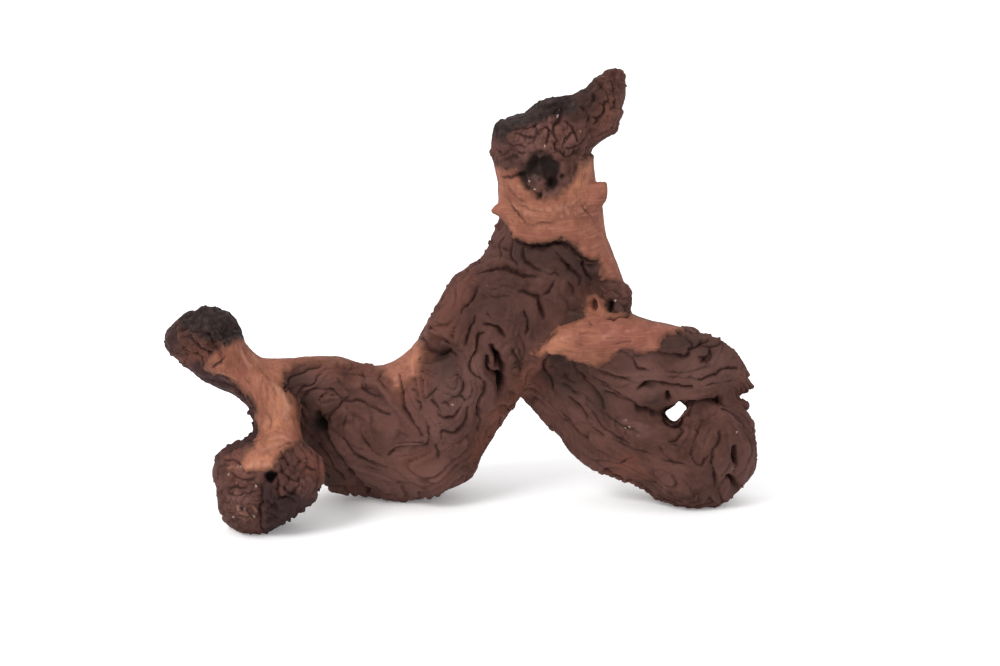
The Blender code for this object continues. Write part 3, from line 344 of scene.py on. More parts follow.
# Smaller furrows: {(depth and width in mm): runs of points in the front view}
FINE_FURROWS = {
    (0.9, 0.8): [
        [(334, 411), (328, 418), (326, 425)], [(398, 444), (412, 443), (424, 444)],
        [(361, 374), (364, 382), (368, 390), (377, 395)], [(415, 400), (420, 403), (421, 410)],
        [(443, 402), (449, 403), (453, 410)], [(519, 360), (516, 365)], [(513, 370), (525, 367)],
        [(545, 273), (555, 273), (560, 276)], [(458, 285), (455, 295), (452, 308)],
        [(488, 287), (497, 287), (505, 286)], [(488, 293), (496, 296), (510, 295)],
        [(480, 290), (486, 297)], [(519, 137), (525, 140)], [(562, 380), (574, 392), (590, 404)],
        [(560, 410), (574, 430), (592, 446)], [(190, 328), (200, 331), (210, 336)],
        [(275, 498), (285, 499), (295, 505)], [(549, 261), (558, 259), (565, 263), (569, 272)],
        [(506, 321), (517, 325)], [(512, 341), (521, 338), (527, 350), (523, 361), (512, 368)],
        [(614, 465), (624, 463), (633, 459)], [(658, 449), (664, 457), (671, 465)],
        [(633, 477), (658, 485), (684, 493)], [(720, 408), (738, 413), (748, 434)],
        [(563, 372), (569, 380), (574, 385)],
    ],
    (0.8, 0.7): [
        [(423, 440), (424, 447), (428, 448)], [(507, 197), (514, 208), (522, 217), (530, 224)],
    ],
    (0.8, 0.8): [
        [(349, 412), (345, 424), (343, 430), (346, 435)], [(354, 416), (355, 424)],
        [(350, 391), (346, 398)], [(412, 390), (418, 392)], [(437, 423), (445, 422)],
        [(472, 455), (467, 463)], [(493, 245), (500, 247), (507, 250)], [(595, 118), (600, 120)],
        [(625, 398), (640, 408), (655, 411)], [(600, 372), (618, 378), (634, 384)],
        [(588, 374), (602, 384), (618, 394)], [(600, 410), (620, 424), (640, 432)],
        [(612, 440), (632, 452), (652, 458)], [(694, 425), (697, 435), (692, 448)],
        [(672, 443), (680, 446)], [(738, 465), (738, 472), (736, 480)], [(680, 495), (692, 497)],
        [(700, 388), (722, 384), (742, 383)],
    ],
    (0.7, 0.8): [
        [(352, 455), (360, 460), (370, 465), (378, 470)], [(362, 470), (369, 469), (378, 474)],
        [(660, 372), (690, 371), (712, 364)], [(655, 377), (685, 378), (700, 380)],
        [(180, 338), (187, 334)], [(277, 449), (283, 445), (292, 443)],
    ],
    (1.0, 0.9): [
        [(301, 400), (310, 393), (320, 391), (332, 391), (340, 399)], [(575, 153), (584, 156)],
        [(174, 333), (183, 327), (192, 331), (200, 328)], [(196, 350), (204, 352), (210, 358)],
        [(182, 349), (190, 356), (198, 360), (202, 367)],
        [(225, 472), (236, 476), (250, 480), (258, 476)], [(266, 500), (274, 508), (284, 512)],
        [(605, 292), (612, 290), (620, 293), (626, 299)], [(618, 300), (624, 306), (624, 312)],
        [(512, 150), (518, 155), (524, 153)],
    ],
    (1.0, 0.8): [
        [(336, 377), (341, 384), (348, 390), (352, 393)],
        [(438, 385), (435, 391), (428, 396), (424, 398)], [(437, 445), (439, 455), (437, 462)],
        [(486, 312), (490, 318), (495, 322)], [(560, 257), (566, 264), (570, 270)],
        [(568, 282), (573, 290), (575, 297)], [(553, 120), (556, 128), (554, 135)],
        [(575, 130), (570, 136), (566, 144)], [(532, 143), (537, 133), (545, 128)],
        [(597, 84), (604, 86)], [(380, 372), (378, 380), (386, 388)],
        [(452, 398), (460, 397), (467, 401)],
    ],
    (0.7, 0.9): [[(378, 485), (395, 487), (410, 485)]],
    (0.6, 0.8): [[(420, 484), (432, 484)], [(420, 478), (436, 478)]],
    (0.9, 0.9): [[(434, 329), (440, 327), (443, 325)], [(443, 335), (447, 345)]],
    (1.2, 0.9): [
        [(559, 142), (557, 150), (563, 150)], [(503, 177), (512, 176), (520, 175)],
        [(184, 335), (190, 342), (197, 345)], [(283, 487), (290, 494), (299, 500)],
        [(230, 507), (240, 510), (248, 514), (258, 521)], [(595, 80), (603, 86), (609, 94), (611, 103)],
        [(599, 98), (604, 105), (604, 114), (597, 126)], [(554, 155), (562, 152), (570, 157), (580, 152)],
        [(612, 78), (616, 90), (614, 108)], [(533, 123), (536, 131), (531, 138)],
        [(363, 368), (366, 376), (362, 384), (370, 392), (382, 396)],
        [(431, 400), (438, 406), (444, 414)], [(512, 352), (520, 360), (522, 372)],
        [(450, 372), (458, 378), (464, 388), (460, 396)], [(500, 232), (496, 244), (500, 256)],
        [(598, 386), (612, 392), (628, 402), (640, 412)],
        [(585, 404), (598, 420), (612, 436), (630, 446)],
    ],
    (0.5, 0.6): [
        [(522, 220), (534, 223), (550, 222), (556, 218)],
        [(516, 202), (530, 209), (548, 212), (566, 209), (580, 200)],
        [(574, 196), (582, 186), (586, 172)], [(560, 350), (574, 352), (586, 358)],
        [(588, 322), (594, 328)], [(580, 344), (583, 346)],
    ],
    (0.6, 0.6): [[(582, 204), (588, 213), (593, 221)]],
    (0.4, 0.5): [
        [(508, 186), (516, 196), (528, 204)], [(264, 380), (268, 392), (266, 404)],
        [(266, 388), (269, 390)],
    ],
    (0.5, 0.5): [
        [(256, 362), (262, 376), (262, 390)], [(290, 384), (294, 398), (294, 412)],
        [(576, 336), (588, 332), (600, 330)], [(610, 346), (624, 342), (640, 343)],
    ],
    (0.6, 0.7): [[(216, 378), (226, 379), (236, 386), (246, 394)]],
    (0.5, 0.7): [
        [(232, 362), (242, 372), (252, 388)], [(262, 372), (272, 384), (276, 400)],
        [(266, 408), (270, 424), (268, 440)],
    ],
    (1.3, 0.9): [
        [(212, 341), (219, 349), (223, 356), (218, 364), (213, 368)],
        [(512, 132), (525, 137), (538, 135)], [(542, 122), (549, 127), (555, 133), (563, 146)],
        [(565, 119), (572, 125), (576, 132), (580, 141)], [(552, 113), (562, 107), (572, 104)],
        [(580, 104), (587, 110), (590, 118), (587, 131)],
    ],
    (1.1, 0.9): [
        [(199, 338), (206, 333), (212, 336)], [(228, 452), (237, 448), (246, 446)],
        [(222, 490), (232, 494), (240, 495), (257, 492)], [(298, 456), (308, 464), (318, 474)],
        [(502, 142), (510, 146), (518, 147), (528, 152)], [(586, 140), (580, 147), (570, 148)],
        [(590, 90), (594, 97), (592, 104)], [(497, 150), (503, 156), (508, 152)],
        [(506, 160), (514, 158), (520, 162)],
    ],
    (1.3, 1.0): [
        [(220, 458), (234, 461), (243, 469)], [(278, 461), (283, 472), (293, 480), (303, 484)],
    ],
    (2.0, 3.0): [[(683, 407), (690, 406), (697, 405), (704, 404)]],
    (1.6, 1.7): [[(700, 404), (716, 402), (730, 401)]],
    (2.0, 1.0): [[(667, 393), (668, 402)]],
    (3.0, 1.4): [[(664, 417), (671, 424), (681, 422), (688, 414)]],
    (4.0, 1.8): [[(735, 446), (736, 457), (739, 468)]],
    (3.0, 1.6): [[(730, 478), (735, 484), (738, 490)]],
    (1.6, 1.2): [[(690, 338), (693, 345), (690, 352)]],
    (1.4, 1.0): [
        [(704, 343), (712, 346), (722, 343)], [(700, 358), (708, 362), (713, 356), (712, 349)],
        [(296, 400), (302, 390), (313, 386), (322, 372)],
    ],
    (2.4, 1.4): [[(531, 246), (546, 247), (560, 245), (569, 247)]],
    (1.8, 1.2): [
        [(578, 262), (586, 266), (597, 264)], [(318, 446), (326, 458), (334, 472), (344, 484)],
    ],
    (2.0, 1.2): [[(606, 318), (618, 318), (630, 316)]],
    (1.6, 1.1): [[(284, 388), (294, 376), (308, 368), (320, 366)]],
}

# Burnt ends and dusky places: outlines in the front view
CHARRED = [
    [(160, 316), (160, 296), (215, 296), (250, 310), (247, 342), (238, 340), (228, 346), (214, 342),
     (206, 338), (196, 333), (184, 325), (174, 322)],
    [(486, 140), (486, 112), (540, 92), (570, 90), (576, 104), (566, 114), (550, 116), (540, 117),
     (528, 121), (514, 126), (505, 134), (498, 140)],
    [(574, 96), (583, 78), (598, 68), (600, 74), (590, 84), (584, 94)],
]
DUSKY = [
    [(160, 320), (176, 322), (176, 340), (172, 352), (160, 352)],
    [(262, 486), (276, 488), (290, 494), (304, 498), (318, 500), (300, 530), (262, 545), (262, 510)],
    [(250, 398), (258, 403), (258, 430), (250, 445), (240, 450), (236, 440), (246, 430)],
    [(176, 362), (190, 360), (214, 379), (240, 393), (252, 404), (240, 404), (212, 392), (190, 380)],
    [(232, 455), (246, 446), (236, 440), (214, 450), (214, 462)],
]
# Where the bark is thin and the red of the wood shows through it
THIN_BARK = [
    [(258, 356), (300, 350), (350, 350), (395, 354), (412, 336), (424, 340), (432, 360), (433, 376),
     (420, 396), (402, 400), (388, 394), (372, 386), (352, 382), (330, 378), (304, 376), (284, 380)],
    [(534, 352), (552, 356), (556, 366), (548, 384), (534, 396), (516, 412), (504, 434), (488, 456),
     (470, 468), (462, 462), (478, 440), (492, 418), (508, 398), (522, 380), (530, 366)],
    [(426, 324), (438, 300), (452, 278), (468, 268), (478, 272), (466, 296), (456, 318), (446, 338),
     (430, 342), (420, 338)],
    [(176, 346), (188, 340), (206, 346), (218, 356), (214, 372), (200, 376), (184, 362)],
    [(296, 446), (312, 450), (326, 462), (322, 478), (312, 474), (306, 460)],
    [(222, 452), (244, 448), (244, 462), (250, 472), (238, 476), (222, 466)],
    [(602, 458), (630, 462), (648, 474), (640, 486), (612, 474)],
]

# Outlines of the front view that colour the skin: by look, (how far they wander in units, outlines)
COLOUR_OUTLINES = {"char": (3.0, CHARRED), "dusk": (3.0, DUSKY), "thin": (4.0, THIN_BARK)}
BARE_WANDER = 2.2
QUICK_WANDER = 1.5
WANDER_SIZES = (6.0 * MM, 1.8 * MM)

# Soft patches: {reach in mm: middles in the front view}. The skin crumbles in the first rather than
# folding, and pale flecks lie on it in the second
CRUMBLY_PATCHES = {
    26: [(245, 500)],
    18: [(238, 478), (262, 518)],
    14: [(296, 476)],
    24: [(205, 330)],
    16: [(190, 345), (520, 135), (580, 110), (575, 140)],
    20: [(548, 118), (606, 95)],
    12: [(618, 78), (506, 152)],
    11: [(612, 298)],
}
PALE_FLECKS = {
    1.0: [(246, 512), (735, 470), (398, 449)],
    0.8: [(255, 521), (256, 486), (629, 427), (232, 519)],
    1.4: [(625, 420)],
    0.7: [(738, 432), (404, 446), (616, 300), (560, 113), (638, 437), (534, 190)],
    0.6: [
        (583, 133), (545, 147), (592, 140), (455, 406), (600, 74), (236, 482), (223, 474), (562, 105),
        (484, 283), (393, 452), (625, 428), (733, 452), (240, 466),
    ],
    0.5: [(529, 181)],
}

# Where the drawn-out folds rest, and where the edge of the bark is frayed
CALM_PATCHES = {
    12: [(312, 378), (340, 375)],
    10: [(370, 371)],
    13: [(655, 444)],
    9: [(632, 456), (700, 486)],
    8: [(440, 376), (530, 430), (610, 474), (737, 388)],
    11: [(492, 297)],
    6: [(735, 400)],
}
RUGGED_PATCHES = {
    9: [
        (560, 428), (590, 456), (620, 477), (650, 490), (680, 498), (715, 496), (218, 480), (224, 508),
        (250, 524), (290, 506), (175, 350), (500, 140), (615, 80), (608, 130),
    ],
    7: [(745, 470), (470, 266), (488, 242), (240, 396), (210, 378)],
    8: [(335, 488), (365, 492), (400, 494), (440, 486), (470, 464), (492, 436), (442, 305), (316, 470)],
    6: [(502, 222)],
    10: [(540, 106), (590, 90)],
}

# Patches of another tint; the warm, lighter, dark olive and darker ones are partly painted light or shade
TINT_PATCHES = {
    # Warm patches: partly the wood's red tone, partly painted light lifting the lower belly, knobs and
    # lobe
    "warm_and_lit": {
        8: [
            (446, 335), (500, 412), (520, 380), (485, 436), (562, 136), (205, 350), (440, 480),
            (235, 470),
        ],
        5: [(625, 470), (748, 376), (320, 466)],
        11: [(410, 468)],
        10: [(612, 112)],
        9: [(400, 480)],
        6: [(404, 380), (600, 300), (576, 346), (340, 372), (350, 486)],
    },
    # Dark olive patches: partly the wood's own tone, partly painted shade in recesses under the neck's
    # lip, beside the opening and under the arm
    "murk_and_shade": {
        7: [(318, 428), (520, 252), (548, 378), (655, 400), (600, 400), (586, 100)],
        9: [(298, 378), (440, 356), (548, 250)],
        8: [(562, 366), (575, 262), (690, 345), (330, 480), (565, 385)],
        6: [(590, 276), (446, 366), (708, 350), (304, 400), (455, 395)],
        5: [(612, 304), (573, 110), (668, 344), (346, 372)],
        4: [(575, 316), (585, 366)],
    },
    "golden": {
        5: [(578, 184), (588, 168), (556, 352), (404, 356)],
        3: [(548, 212)],
        9: [(282, 402)],
        7: [(276, 424), (266, 444)],
        6: [(262, 462), (560, 346)],
        4: [(250, 470), (412, 362)],
    },
    "pink": {
        8: [(520, 228), (604, 256), (645, 328)],
        9: [(545, 232), (590, 236), (622, 330), (320, 358), (350, 360), (380, 362)],
        10: [(570, 226)],
        7: [(614, 272), (660, 326), (600, 352), (300, 356)],
        6: [(236, 372), (246, 386)],
        4: [(292, 436)],
        5: [(397, 384)],
    },
    # Lighter patches: partly the wood's own tone, partly painted light on the lower belly and the bottom
    # of the low knob
    "lighter_and_lit": {
        15: [(460, 400)],
        13: [(700, 372)],
        12: [(640, 374), (434, 478)],
        18: [(400, 484)],
        9: [(350, 472)],
        8: [(315, 384), (470, 372), (720, 364), (530, 146)],
        10: [(440, 432), (545, 130)],
        6: [(570, 140), (640, 425), (212, 452), (250, 456), (238, 500)],
        5: [(408, 451), (240, 466)],
        4: [(396, 457), (420, 448)],
    },
    # Darker patches: partly the wood's own tone, partly painted shade under the neck's lip, in the pocket
    # left of the belly, by the opening and in the crevices
    "deeper_and_shaded": {
        20: [(495, 300)],
        11: [(520, 322), (562, 256), (578, 268)],
        8: [(455, 318), (592, 280), (318, 426), (700, 343), (285, 508), (584, 100), (452, 360)],
        13: [(535, 252)],
        7: [(590, 92), (578, 104), (508, 158), (560, 374), (676, 412)],
        6: [
            (686, 337), (323, 442), (270, 520), (188, 346), (181, 353), (577, 112), (322, 434),
            (334, 458), (206, 346),
        ],
        9: [(546, 300)],
        5: [(346, 478), (502, 380), (735, 458)],
        4: [(300, 362)],
    },
    "sallow": {
        9: [(512, 200), (530, 222), (548, 222)],
        6: [
            (520, 186), (575, 215), (256, 372), (600, 358), (560, 214), (263, 407), (234, 356),
            (514, 214),
        ],
        5: [(250, 352)],
        4: [(560, 352), (300, 360), (262, 420)],
    },
}

# Pale streaks: {width in mm: runs of points in the front view}
PALE_STREAKS = {
    1.7: [[(272, 384), (281, 394), (286, 406), (285, 418)]],
    1.3: [[(252, 354), (257, 362)]],
    0.8: [
        [(240, 345), (244, 358), (252, 368)], [(246, 468), (258, 464), (270, 466)],
        [(262, 452), (272, 446), (284, 444)],
    ],
    1.1: [[(268, 440), (280, 437), (292, 440)]],
    0.5: [
        [(238, 520), (246, 524), (256, 523)], [(251, 508), (258, 517)],
        [(222, 470), (232, 466), (244, 468)], [(560, 216), (578, 212), (590, 203)],
        [(600, 232), (606, 248), (612, 262)], [(600, 338), (616, 332), (634, 331)],
        [(548, 346), (556, 340), (566, 338)], [(215, 372), (226, 374), (238, 380)],
    ],
    0.4: [[(245, 512), (250, 519)]],
    0.6: [
        [(232, 506), (240, 513), (245, 521)], [(584, 188), (588, 178), (586, 166)],
        [(414, 352), (412, 364), (414, 374)],
    ],
    0.7: [
        [(510, 201), (518, 208), (530, 213), (545, 215)],
        [(532, 207), (550, 210), (566, 207), (578, 200)], [(396, 374), (397, 386)],
    ],
}

# Edges along which small splinters stand out: each runs clockwise round the front view
FRINGES = [
    [(735, 488), (715, 500), (690, 502), (665, 497), (640, 488), (615, 474), (590, 458), (570, 440),
     (552, 418), (535, 400)],
    [(512, 405), (500, 425), (488, 446), (474, 468), (455, 484), (430, 494), (400, 496), (370, 494),
     (345, 490), (325, 484)],
    [(432, 325), (440, 305), (450, 285), (468, 266), (484, 248), (498, 228)],
    [(218, 470), (220, 455), (236, 446), (250, 436), (254, 420), (252, 404), (240, 392), (215, 380),
     (195, 370), (178, 352), (168, 335)],
    [(316, 482), (300, 500), (285, 515), (268, 528), (245, 530), (228, 522), (218, 505), (216, 485)],
    [(300, 445), (318, 455), (324, 468), (318, 482)],
    [(684, 331), (700, 335), (720, 345), (738, 360), (746, 375)],
    [(748, 410), (754, 435), (755, 460), (748, 478), (738, 488)], [(495, 162), (494, 140), (500, 122)],
    [(560, 100), (580, 88)],
]
FRINGE_STEP = 8.0
FRINGE_INSIDE = 4.0
FRINGE_REACH = (0.0, 1.6)
FRINGE_WIDTH = (1.8, 4.2)
FRINGE_SEARCH = 14.0
# The sections of a splinter: share of its length, width, and half thickness in mm
FRINGE_STATIONS = ((-0.4, 1.1, 1.8), (0.3, 1.0, 1.6), (1.0, 0.6, 1.1))

# How abruptly patches end: those of another tint, pale flecks, and those of another relief
TINT_EDGE = 1.6
FLECK_EDGE = 2.5
RELIEF_EDGE = 3.0

# Where the standing column at the left ends, along X
COLUMN_END = -0.085

# The studio
FLOOR_SIZE = 12.0
SKY_STRENGTH = 1.12
KEY_AT = Vector((-1.25, -1.4, 1.7))
KEY_AIM = Vector((0.0, 0.0, 0.1))
KEY_SIZE = 1.0
KEY_POWER = 38.0
SENSOR = 36.0
PICTURE_COLUMNS = 1000


def place(at, depth):
    """The point that shows at this place of the front view and lies at this depth (Y, metres)."""
    column, row = at
    ray = AHEAD * VIEW_DISTANCE
    ray = ray + ACROSS * ((column - VIEW_MIDDLE[0]) * UNIT)
    ray = ray + UPWARD * ((VIEW_MIDDLE[1] - row) * UNIT)
    return EYE + ray * ((depth - EYE.y) / ray.y)


def hit_on(skin, at):
    """The first point of the skin that shows at this place of the front view, or None."""
    return skin.ray_cast(EYE, (place(at, 0.0) - EYE).normalized())[0]


def seen_at(points):
    """The columns and rows at which an array of points shows in the front view."""
    offset = points - np.array(EYE)
    ahead = offset @ np.array(AHEAD)
    columns = VIEW_MIDDLE[0] + offset @ np.array(ACROSS) / ahead * VIEW_DISTANCE / UNIT
    rows = VIEW_MIDDLE[1] - offset @ np.array(UPWARD) / ahead * VIEW_DISTANCE / UNIT
    return np.stack([columns, rows], axis=1)


def eased(value, low, high):
    """0 below low, 1 above high and a smooth step between."""
    share = np.clip((value - low) / (high - low), 0.0, 1.0)
    return share * share * (3.0 - 2.0 * share)


def smooth_run(rows, steps):
    """The rows with more between them, along a Catmull-Rom curve."""
    rows = np.array(rows, float)
    padded = np.vstack([2 * rows[0] - rows[1], rows, 2 * rows[-1] - rows[-2]])
    run = []
    for i in range(len(rows) - 1):
        a, b, c, d = padded[i : i + 4]
        for t in np.arange(steps) / steps:
            run.append(
                0.5 * (2 * b + (c - a) * t + (2 * a - 5 * b + 4 * c - d) * t**2
                       + (3 * b - a - 3 * c + d) * t**3)
            )
    run.append(rows[-1])
    return np.array(run)


def section(station):
    """The middle, side arm and depth arm of a limb's cross-section."""
    a_column, a_row, b_column, b_row, depth, thickness = station
    upper = place((a_column, a_row), depth * MM)
    lower = place((b_column, b_row), depth * MM)
    middle = (upper + lower) / 2
    return middle, (upper - lower) / 2, (middle - EYE).normalized() * thickness * MM


def limb_sections(stations):
    return [section(row) for row in smooth_run(stations, STEPS_PER_SPAN)]


def cap(ring, way, share):
    """One of the smaller rings that round off the end of a limb."""
    middle, side, deep = ring
    reach = way * min(side.length, deep.length) * CAP_BULGE * share
    shrink = math.sqrt(1 - share**2)
    return middle + reach, side * shrink, deep * shrink


def close_rings(shapes, loops):
    """Faces between neighbouring rings of corners, and one over each end."""
    faces = [shapes.faces.new(loops[0]), shapes.faces.new(loops[-1])]
    for near, far in zip(loops, loops[1:]):
        for i in range(len(near)):
            j = (i + 1) % len(near)
            faces.append(shapes.faces.new((near[i], near[j], far[j], far[i])))
    bmesh.ops.recalc_face_normals(shapes, faces=faces)


def new_object(name, shapes):
    """Turns the shapes into an object of the scene."""
    mesh = bpy.data.meshes.new(name)
    shapes.to_mesh(mesh)
    shapes.free()
    return in_scene(name, mesh)


def in_scene(name, data):
    thing = bpy.data.objects.new(name, data)
    bpy.context.scene.collection.objects.link(thing)
    return thing


def add_limb(shapes, stations):
    """A closed loft through the stations, with rounded ends."""
    rings = limb_sections(stations)
    first_run = (rings[0][0] - rings[1][0]).normalized()
    last_run = (rings[-1][0] - rings[-2][0]).normalized()
    capped = [cap(rings[0], first_run, share) for share in reversed(CAP_STEPS)]
    capped += rings
    capped += [cap(rings[-1], last_run, share) for share in CAP_STEPS]
    turns = [2 * math.pi * i / RING_SIDES for i in range(RING_SIDES)]
    close_rings(shapes, [
        [shapes.verts.new(middle + side * math.cos(turn) + deep * math.sin(turn)) for turn in turns]
        for middle, side, deep in capped
    ])


def add_lump(shapes, at, depth, half_sizes):
    size = Matrix.Diagonal((*[half * MM for half in half_sizes], 1.0))
    matrix = Matrix.Translation(place(at, depth * MM)) @ size
    bmesh.ops.create_uvsphere(
        shapes, u_segments=LUMP_SIDES, v_segments=LUMP_RINGS, radius=1.0, matrix=matrix
    )


def add_flakes(root):
    shapes = bmesh.new()
    shapes.from_mesh(root.data)
    for stations in FLAKES.values():
        add_limb(shapes, stations)
    shapes.to_mesh(root.data)
    shapes.free()


def outward_edge(skin, spot, out):
    """The last place of the front view on a way outward that still shows skin, and its point."""
    edge, last = spot - 4 * out, None
    for _ in np.arange(0, FRINGE_SEARCH, 0.5):
        hit = hit_on(skin, edge)
        if not hit:
            return edge, last
        edge, last = edge + 0.5 * out, hit
    return edge, None


def add_fringes(root, skin):
    """Small splinters along the frayed edges."""
    chance = np.random.default_rng(SEED)
    shapes = bmesh.new()
    for run in FRINGES:
        run = smooth_run(run, 8)
        length = np.concatenate([[0], np.cumsum(np.linalg.norm(np.diff(run, axis=0), axis=1))])
        for at in np.arange(FRINGE_STEP / 2, length[-1], FRINGE_STEP):
            at += chance.uniform(-0.4, 0.4) * FRINGE_STEP
            spot = np.array([np.interp(at, length, run[:, axis]) for axis in (0, 1)])
            after = np.array([np.interp(at + 2, length, run[:, axis]) for axis in (0, 1)])
            way = (after - spot) / (np.linalg.norm(after - spot) + 1e-9)
            out = np.array((way[1], -way[0])) + chance.uniform(-0.5, 0.5) * way
            reach, width = chance.uniform(*FRINGE_REACH), chance.uniform(*FRINGE_WIDTH)
            edge, last = outward_edge(skin, spot, out)
            near = edge - FRINGE_INSIDE * out
            base = hit_on(skin, near)
            if last is None or base is None:
                continue
            stations = []
            for share, wide, thick in FRINGE_STATIONS:
                middle = near + out * (FRINGE_INSIDE + reach) * share
                depth = (base.y + (last.y - base.y) * min(max(share, 0.0), 0.6)) / MM
                half = way * width * wide
                stations.append((*(middle + half), *(middle - half), depth + 0.8, thick))
            add_limb(shapes, stations)
    splinters = bpy.data.meshes.new("splinters")
    shapes.to_mesh(splinters)
    shapes.clear()
    shapes.from_mesh(root.data)
    shapes.from_mesh(splinters)
    shapes.to_mesh(root.data)
    shapes.free()
    bpy.data.meshes.remove(splinters)


def rough_root():
    """The limbs and lumps as one object of overlapping closed shapes."""
    shapes = bmesh.new()
    for stations in LIMBS.values():
        add_limb(shapes, stations)
    for at, depth, half_sizes in LUMPS.values():
        add_lump(shapes, at, depth, half_sizes)
    return new_object("dry_root", shapes)


def apply_modifiers(root):
    graph = bpy.context.evaluated_depsgraph_get()
    mesh = bpy.data.meshes.new_from_object(root.evaluated_get(graph))
    old = root.data
    root.modifiers.clear()
    root.data = mesh
    bpy.data.meshes.remove(old)
    mesh.name = "dry_root"


def fuse(root, voxel, smoothing):
    """One skin round everything that overlaps."""
    remesh = root.modifiers.new("fuse", "REMESH")
    remesh.mode = "VOXEL"
    remesh.voxel_size = voxel
    if smoothing:
        smooth = root.modifiers.new("soften", "SMOOTH")
        smooth.factor = 0.5
        smooth.iterations = smoothing
    apply_modifiers(root)


def points_and_normals(root):
    mesh = root.data
    points = np.empty(len(mesh.vertices) * 3, np.float32)
    normals = np.empty(len(mesh.vertices) * 3, np.float32)
    mesh.vertices.foreach_get("co", points)
    mesh.vertices.foreach_get("normal", normals)
    return points.reshape(-1, 3).astype(float), normals.reshape(-1, 3).astype(float)


def set_points(root, points):
    root.data.vertices.foreach_set("co", points.astype(np.float32).ravel())
    root.data.update()


def between_cells(grid, places, wrap):
    """A grid's values at places counted in cells, blended between the eight nearest."""
    base = np.floor(places).astype(int)
    share = places - base
    blend = share * share * (3.0 - 2.0 * share) if wrap else share
    most = np.array(grid.shape[:3]) - 1
    total = np.zeros((len(places), grid.shape[3]))
    for corner in itertools.product((0, 1), repeat=3):
        at = base + corner
        at = at % grid.shape[0] if wrap else np.clip(at, 0, most)
        weight = np.prod(np.where(corner, blend, 1.0 - blend), axis=1)
        total += weight[:, None] * grid[at[:, 0], at[:, 1], at[:, 2]]
    return total


def lattice(seed):
    return np.random.default_rng(seed).normal(size=(LATTICE, LATTICE, LATTICE, 1))


def speckle(points, size, values):
    """Smooth noise with features of about this size."""
    return between_cells(values, points / size + LATTICE, True)[:, 0]


def on_skin(runs, skin):
    """Lines of the front view laid on the skin in short pieces: middles, ways, line, share of it."""
    middles, ways, lines, shares = [], [], [], []
    for number, run in enumerate(runs):
        straight = len(run) == 2
        run = np.linspace(*run, FURROW_STEPS) if straight else smooth_run(run, FURROW_STEPS)
        hits = []
        for spot in run:
            hit = hit_on(skin, spot)
            if hit:
                hits.append(np.array(hit))
        for step, (near, far) in enumerate(zip(hits, hits[1:])):
            length = np.linalg.norm(far - near)
            if 0.0 < length < WIDEST_GAP:
                pieces = int(length / FURROW_PIECE) + 1
                for i in range(pieces):
                    middles.append(near + (far - near) * (i + 0.5) / pieces)
                    ways.append((far - near) / length)
                    lines.append(number)
                    shares.append((step + (i + 0.5) / pieces) / (len(hits) - 1))
    return np.array(middles), np.array(ways), np.array(lines), np.array(shares)


def limb_lines():
    """Middles of the limbs and the way they run there."""
    middles, ways = [], []
    for stations in LIMBS.values():
        rings = np.array([middle for middle, _, _ in limb_sections(stations)])
        middles.append(rings)
        ways.append(np.gradient(rings, axis=0))
    ways = np.vstack(ways)
    return np.vstack(middles), ways / np.linalg.norm(ways, axis=1)[:, None]


def growth(points, furrow_middles, furrow_ways):
    """How the wood grows, as a grid of direction tensors: with the limbs and along the furrows."""
    low = points.min(axis=0) - 2 * FLOW_CELL
    count = np.ceil((points.max(axis=0) + 2 * FLOW_CELL - low) / FLOW_CELL).astype(int) + 1
    cells = np.stack(np.meshgrid(*[np.arange(n) for n in count], indexing="ij"), axis=-1)
    cells = cells.reshape(-1, 3) * FLOW_CELL + low
    tensors = np.zeros((len(cells), 9))
    limb_middles, limb_ways = limb_lines()
    sources = ((limb_middles, limb_ways, LIMB_SWAY, 1.0),
               (furrow_middles[::FURROW_THINNING], furrow_ways[::FURROW_THINNING],
                FURROW_SWAY, FURROW_PULL))
    for middles, ways, sway, pull in sources:
        squares = (ways[:, :, None] * ways[:, None, :]).reshape(-1, 9)
        for start in range(0, len(cells), CELLS_AT_A_TIME):
            block = cells[start : start + CELLS_AT_A_TIME]
            gap = np.sum((block[:, None] - middles[None]) ** 2, axis=2)
            here = slice(start, start + CELLS_AT_A_TIME)
            tensors[here] += pull * np.exp(-gap / (2 * sway**2)) @ squares
    tensors += STRAY_PULL
    tensors /= np.linalg.norm(tensors, axis=1)[:, None]
    return tensors.reshape(*count, 9), low


def tensors_at(points, flow):
    tensors, low = flow
    return between_cells(tensors, (points - low) / FLOW_CELL, False).reshape(-1, 3, 3)


def grain(points, flow, size, reach, stride, values):
    """Noise that is long the way the wood grows and narrow across it, about -1 to 1."""
    way = np.linalg.eigh(tensors_at(points, flow))[1][:, :, 2]
    total = speckle(points, size, values)
    for side in (-1.0, 1.0):
        spot, heading = points.copy(), way * side
        for _ in range(int(reach / stride)):
            spot = spot + heading * stride
            tensor = tensors_at(spot, flow)
            for _ in range(2):
                heading = np.einsum("nij,nj->ni", tensor, heading)
                heading /= np.linalg.norm(heading, axis=1)[:, None] + 1e-12
            total += speckle(spot, size, values)
    return total / np.std(total)


def flap(pattern):
    """The profile of flaps that overlap: a slow rise from each crease to a rounded edge, 0 to 1."""
    share = pattern - np.floor(pattern)
    return share**0.7 * (1.0 - np.exp(-(1.0 - share) / FOLD_EDGE))


def inside_outline(spots, outline):
    inside = np.zeros(len(spots), bool)
    corners = np.array(outline, float)
    for start, end in zip(corners, np.roll(corners, -1, axis=0)):
        crosses = (start[1] > spots[:, 1]) != (end[1] > spots[:, 1])
        rise = end[1] - start[1] if end[1] != start[1] else 1.0
        reach = start[0] + (spots[:, 1] - start[1]) * (end[0] - start[0]) / rise
        inside ^= crosses & (spots[:, 0] < reach)
    return inside


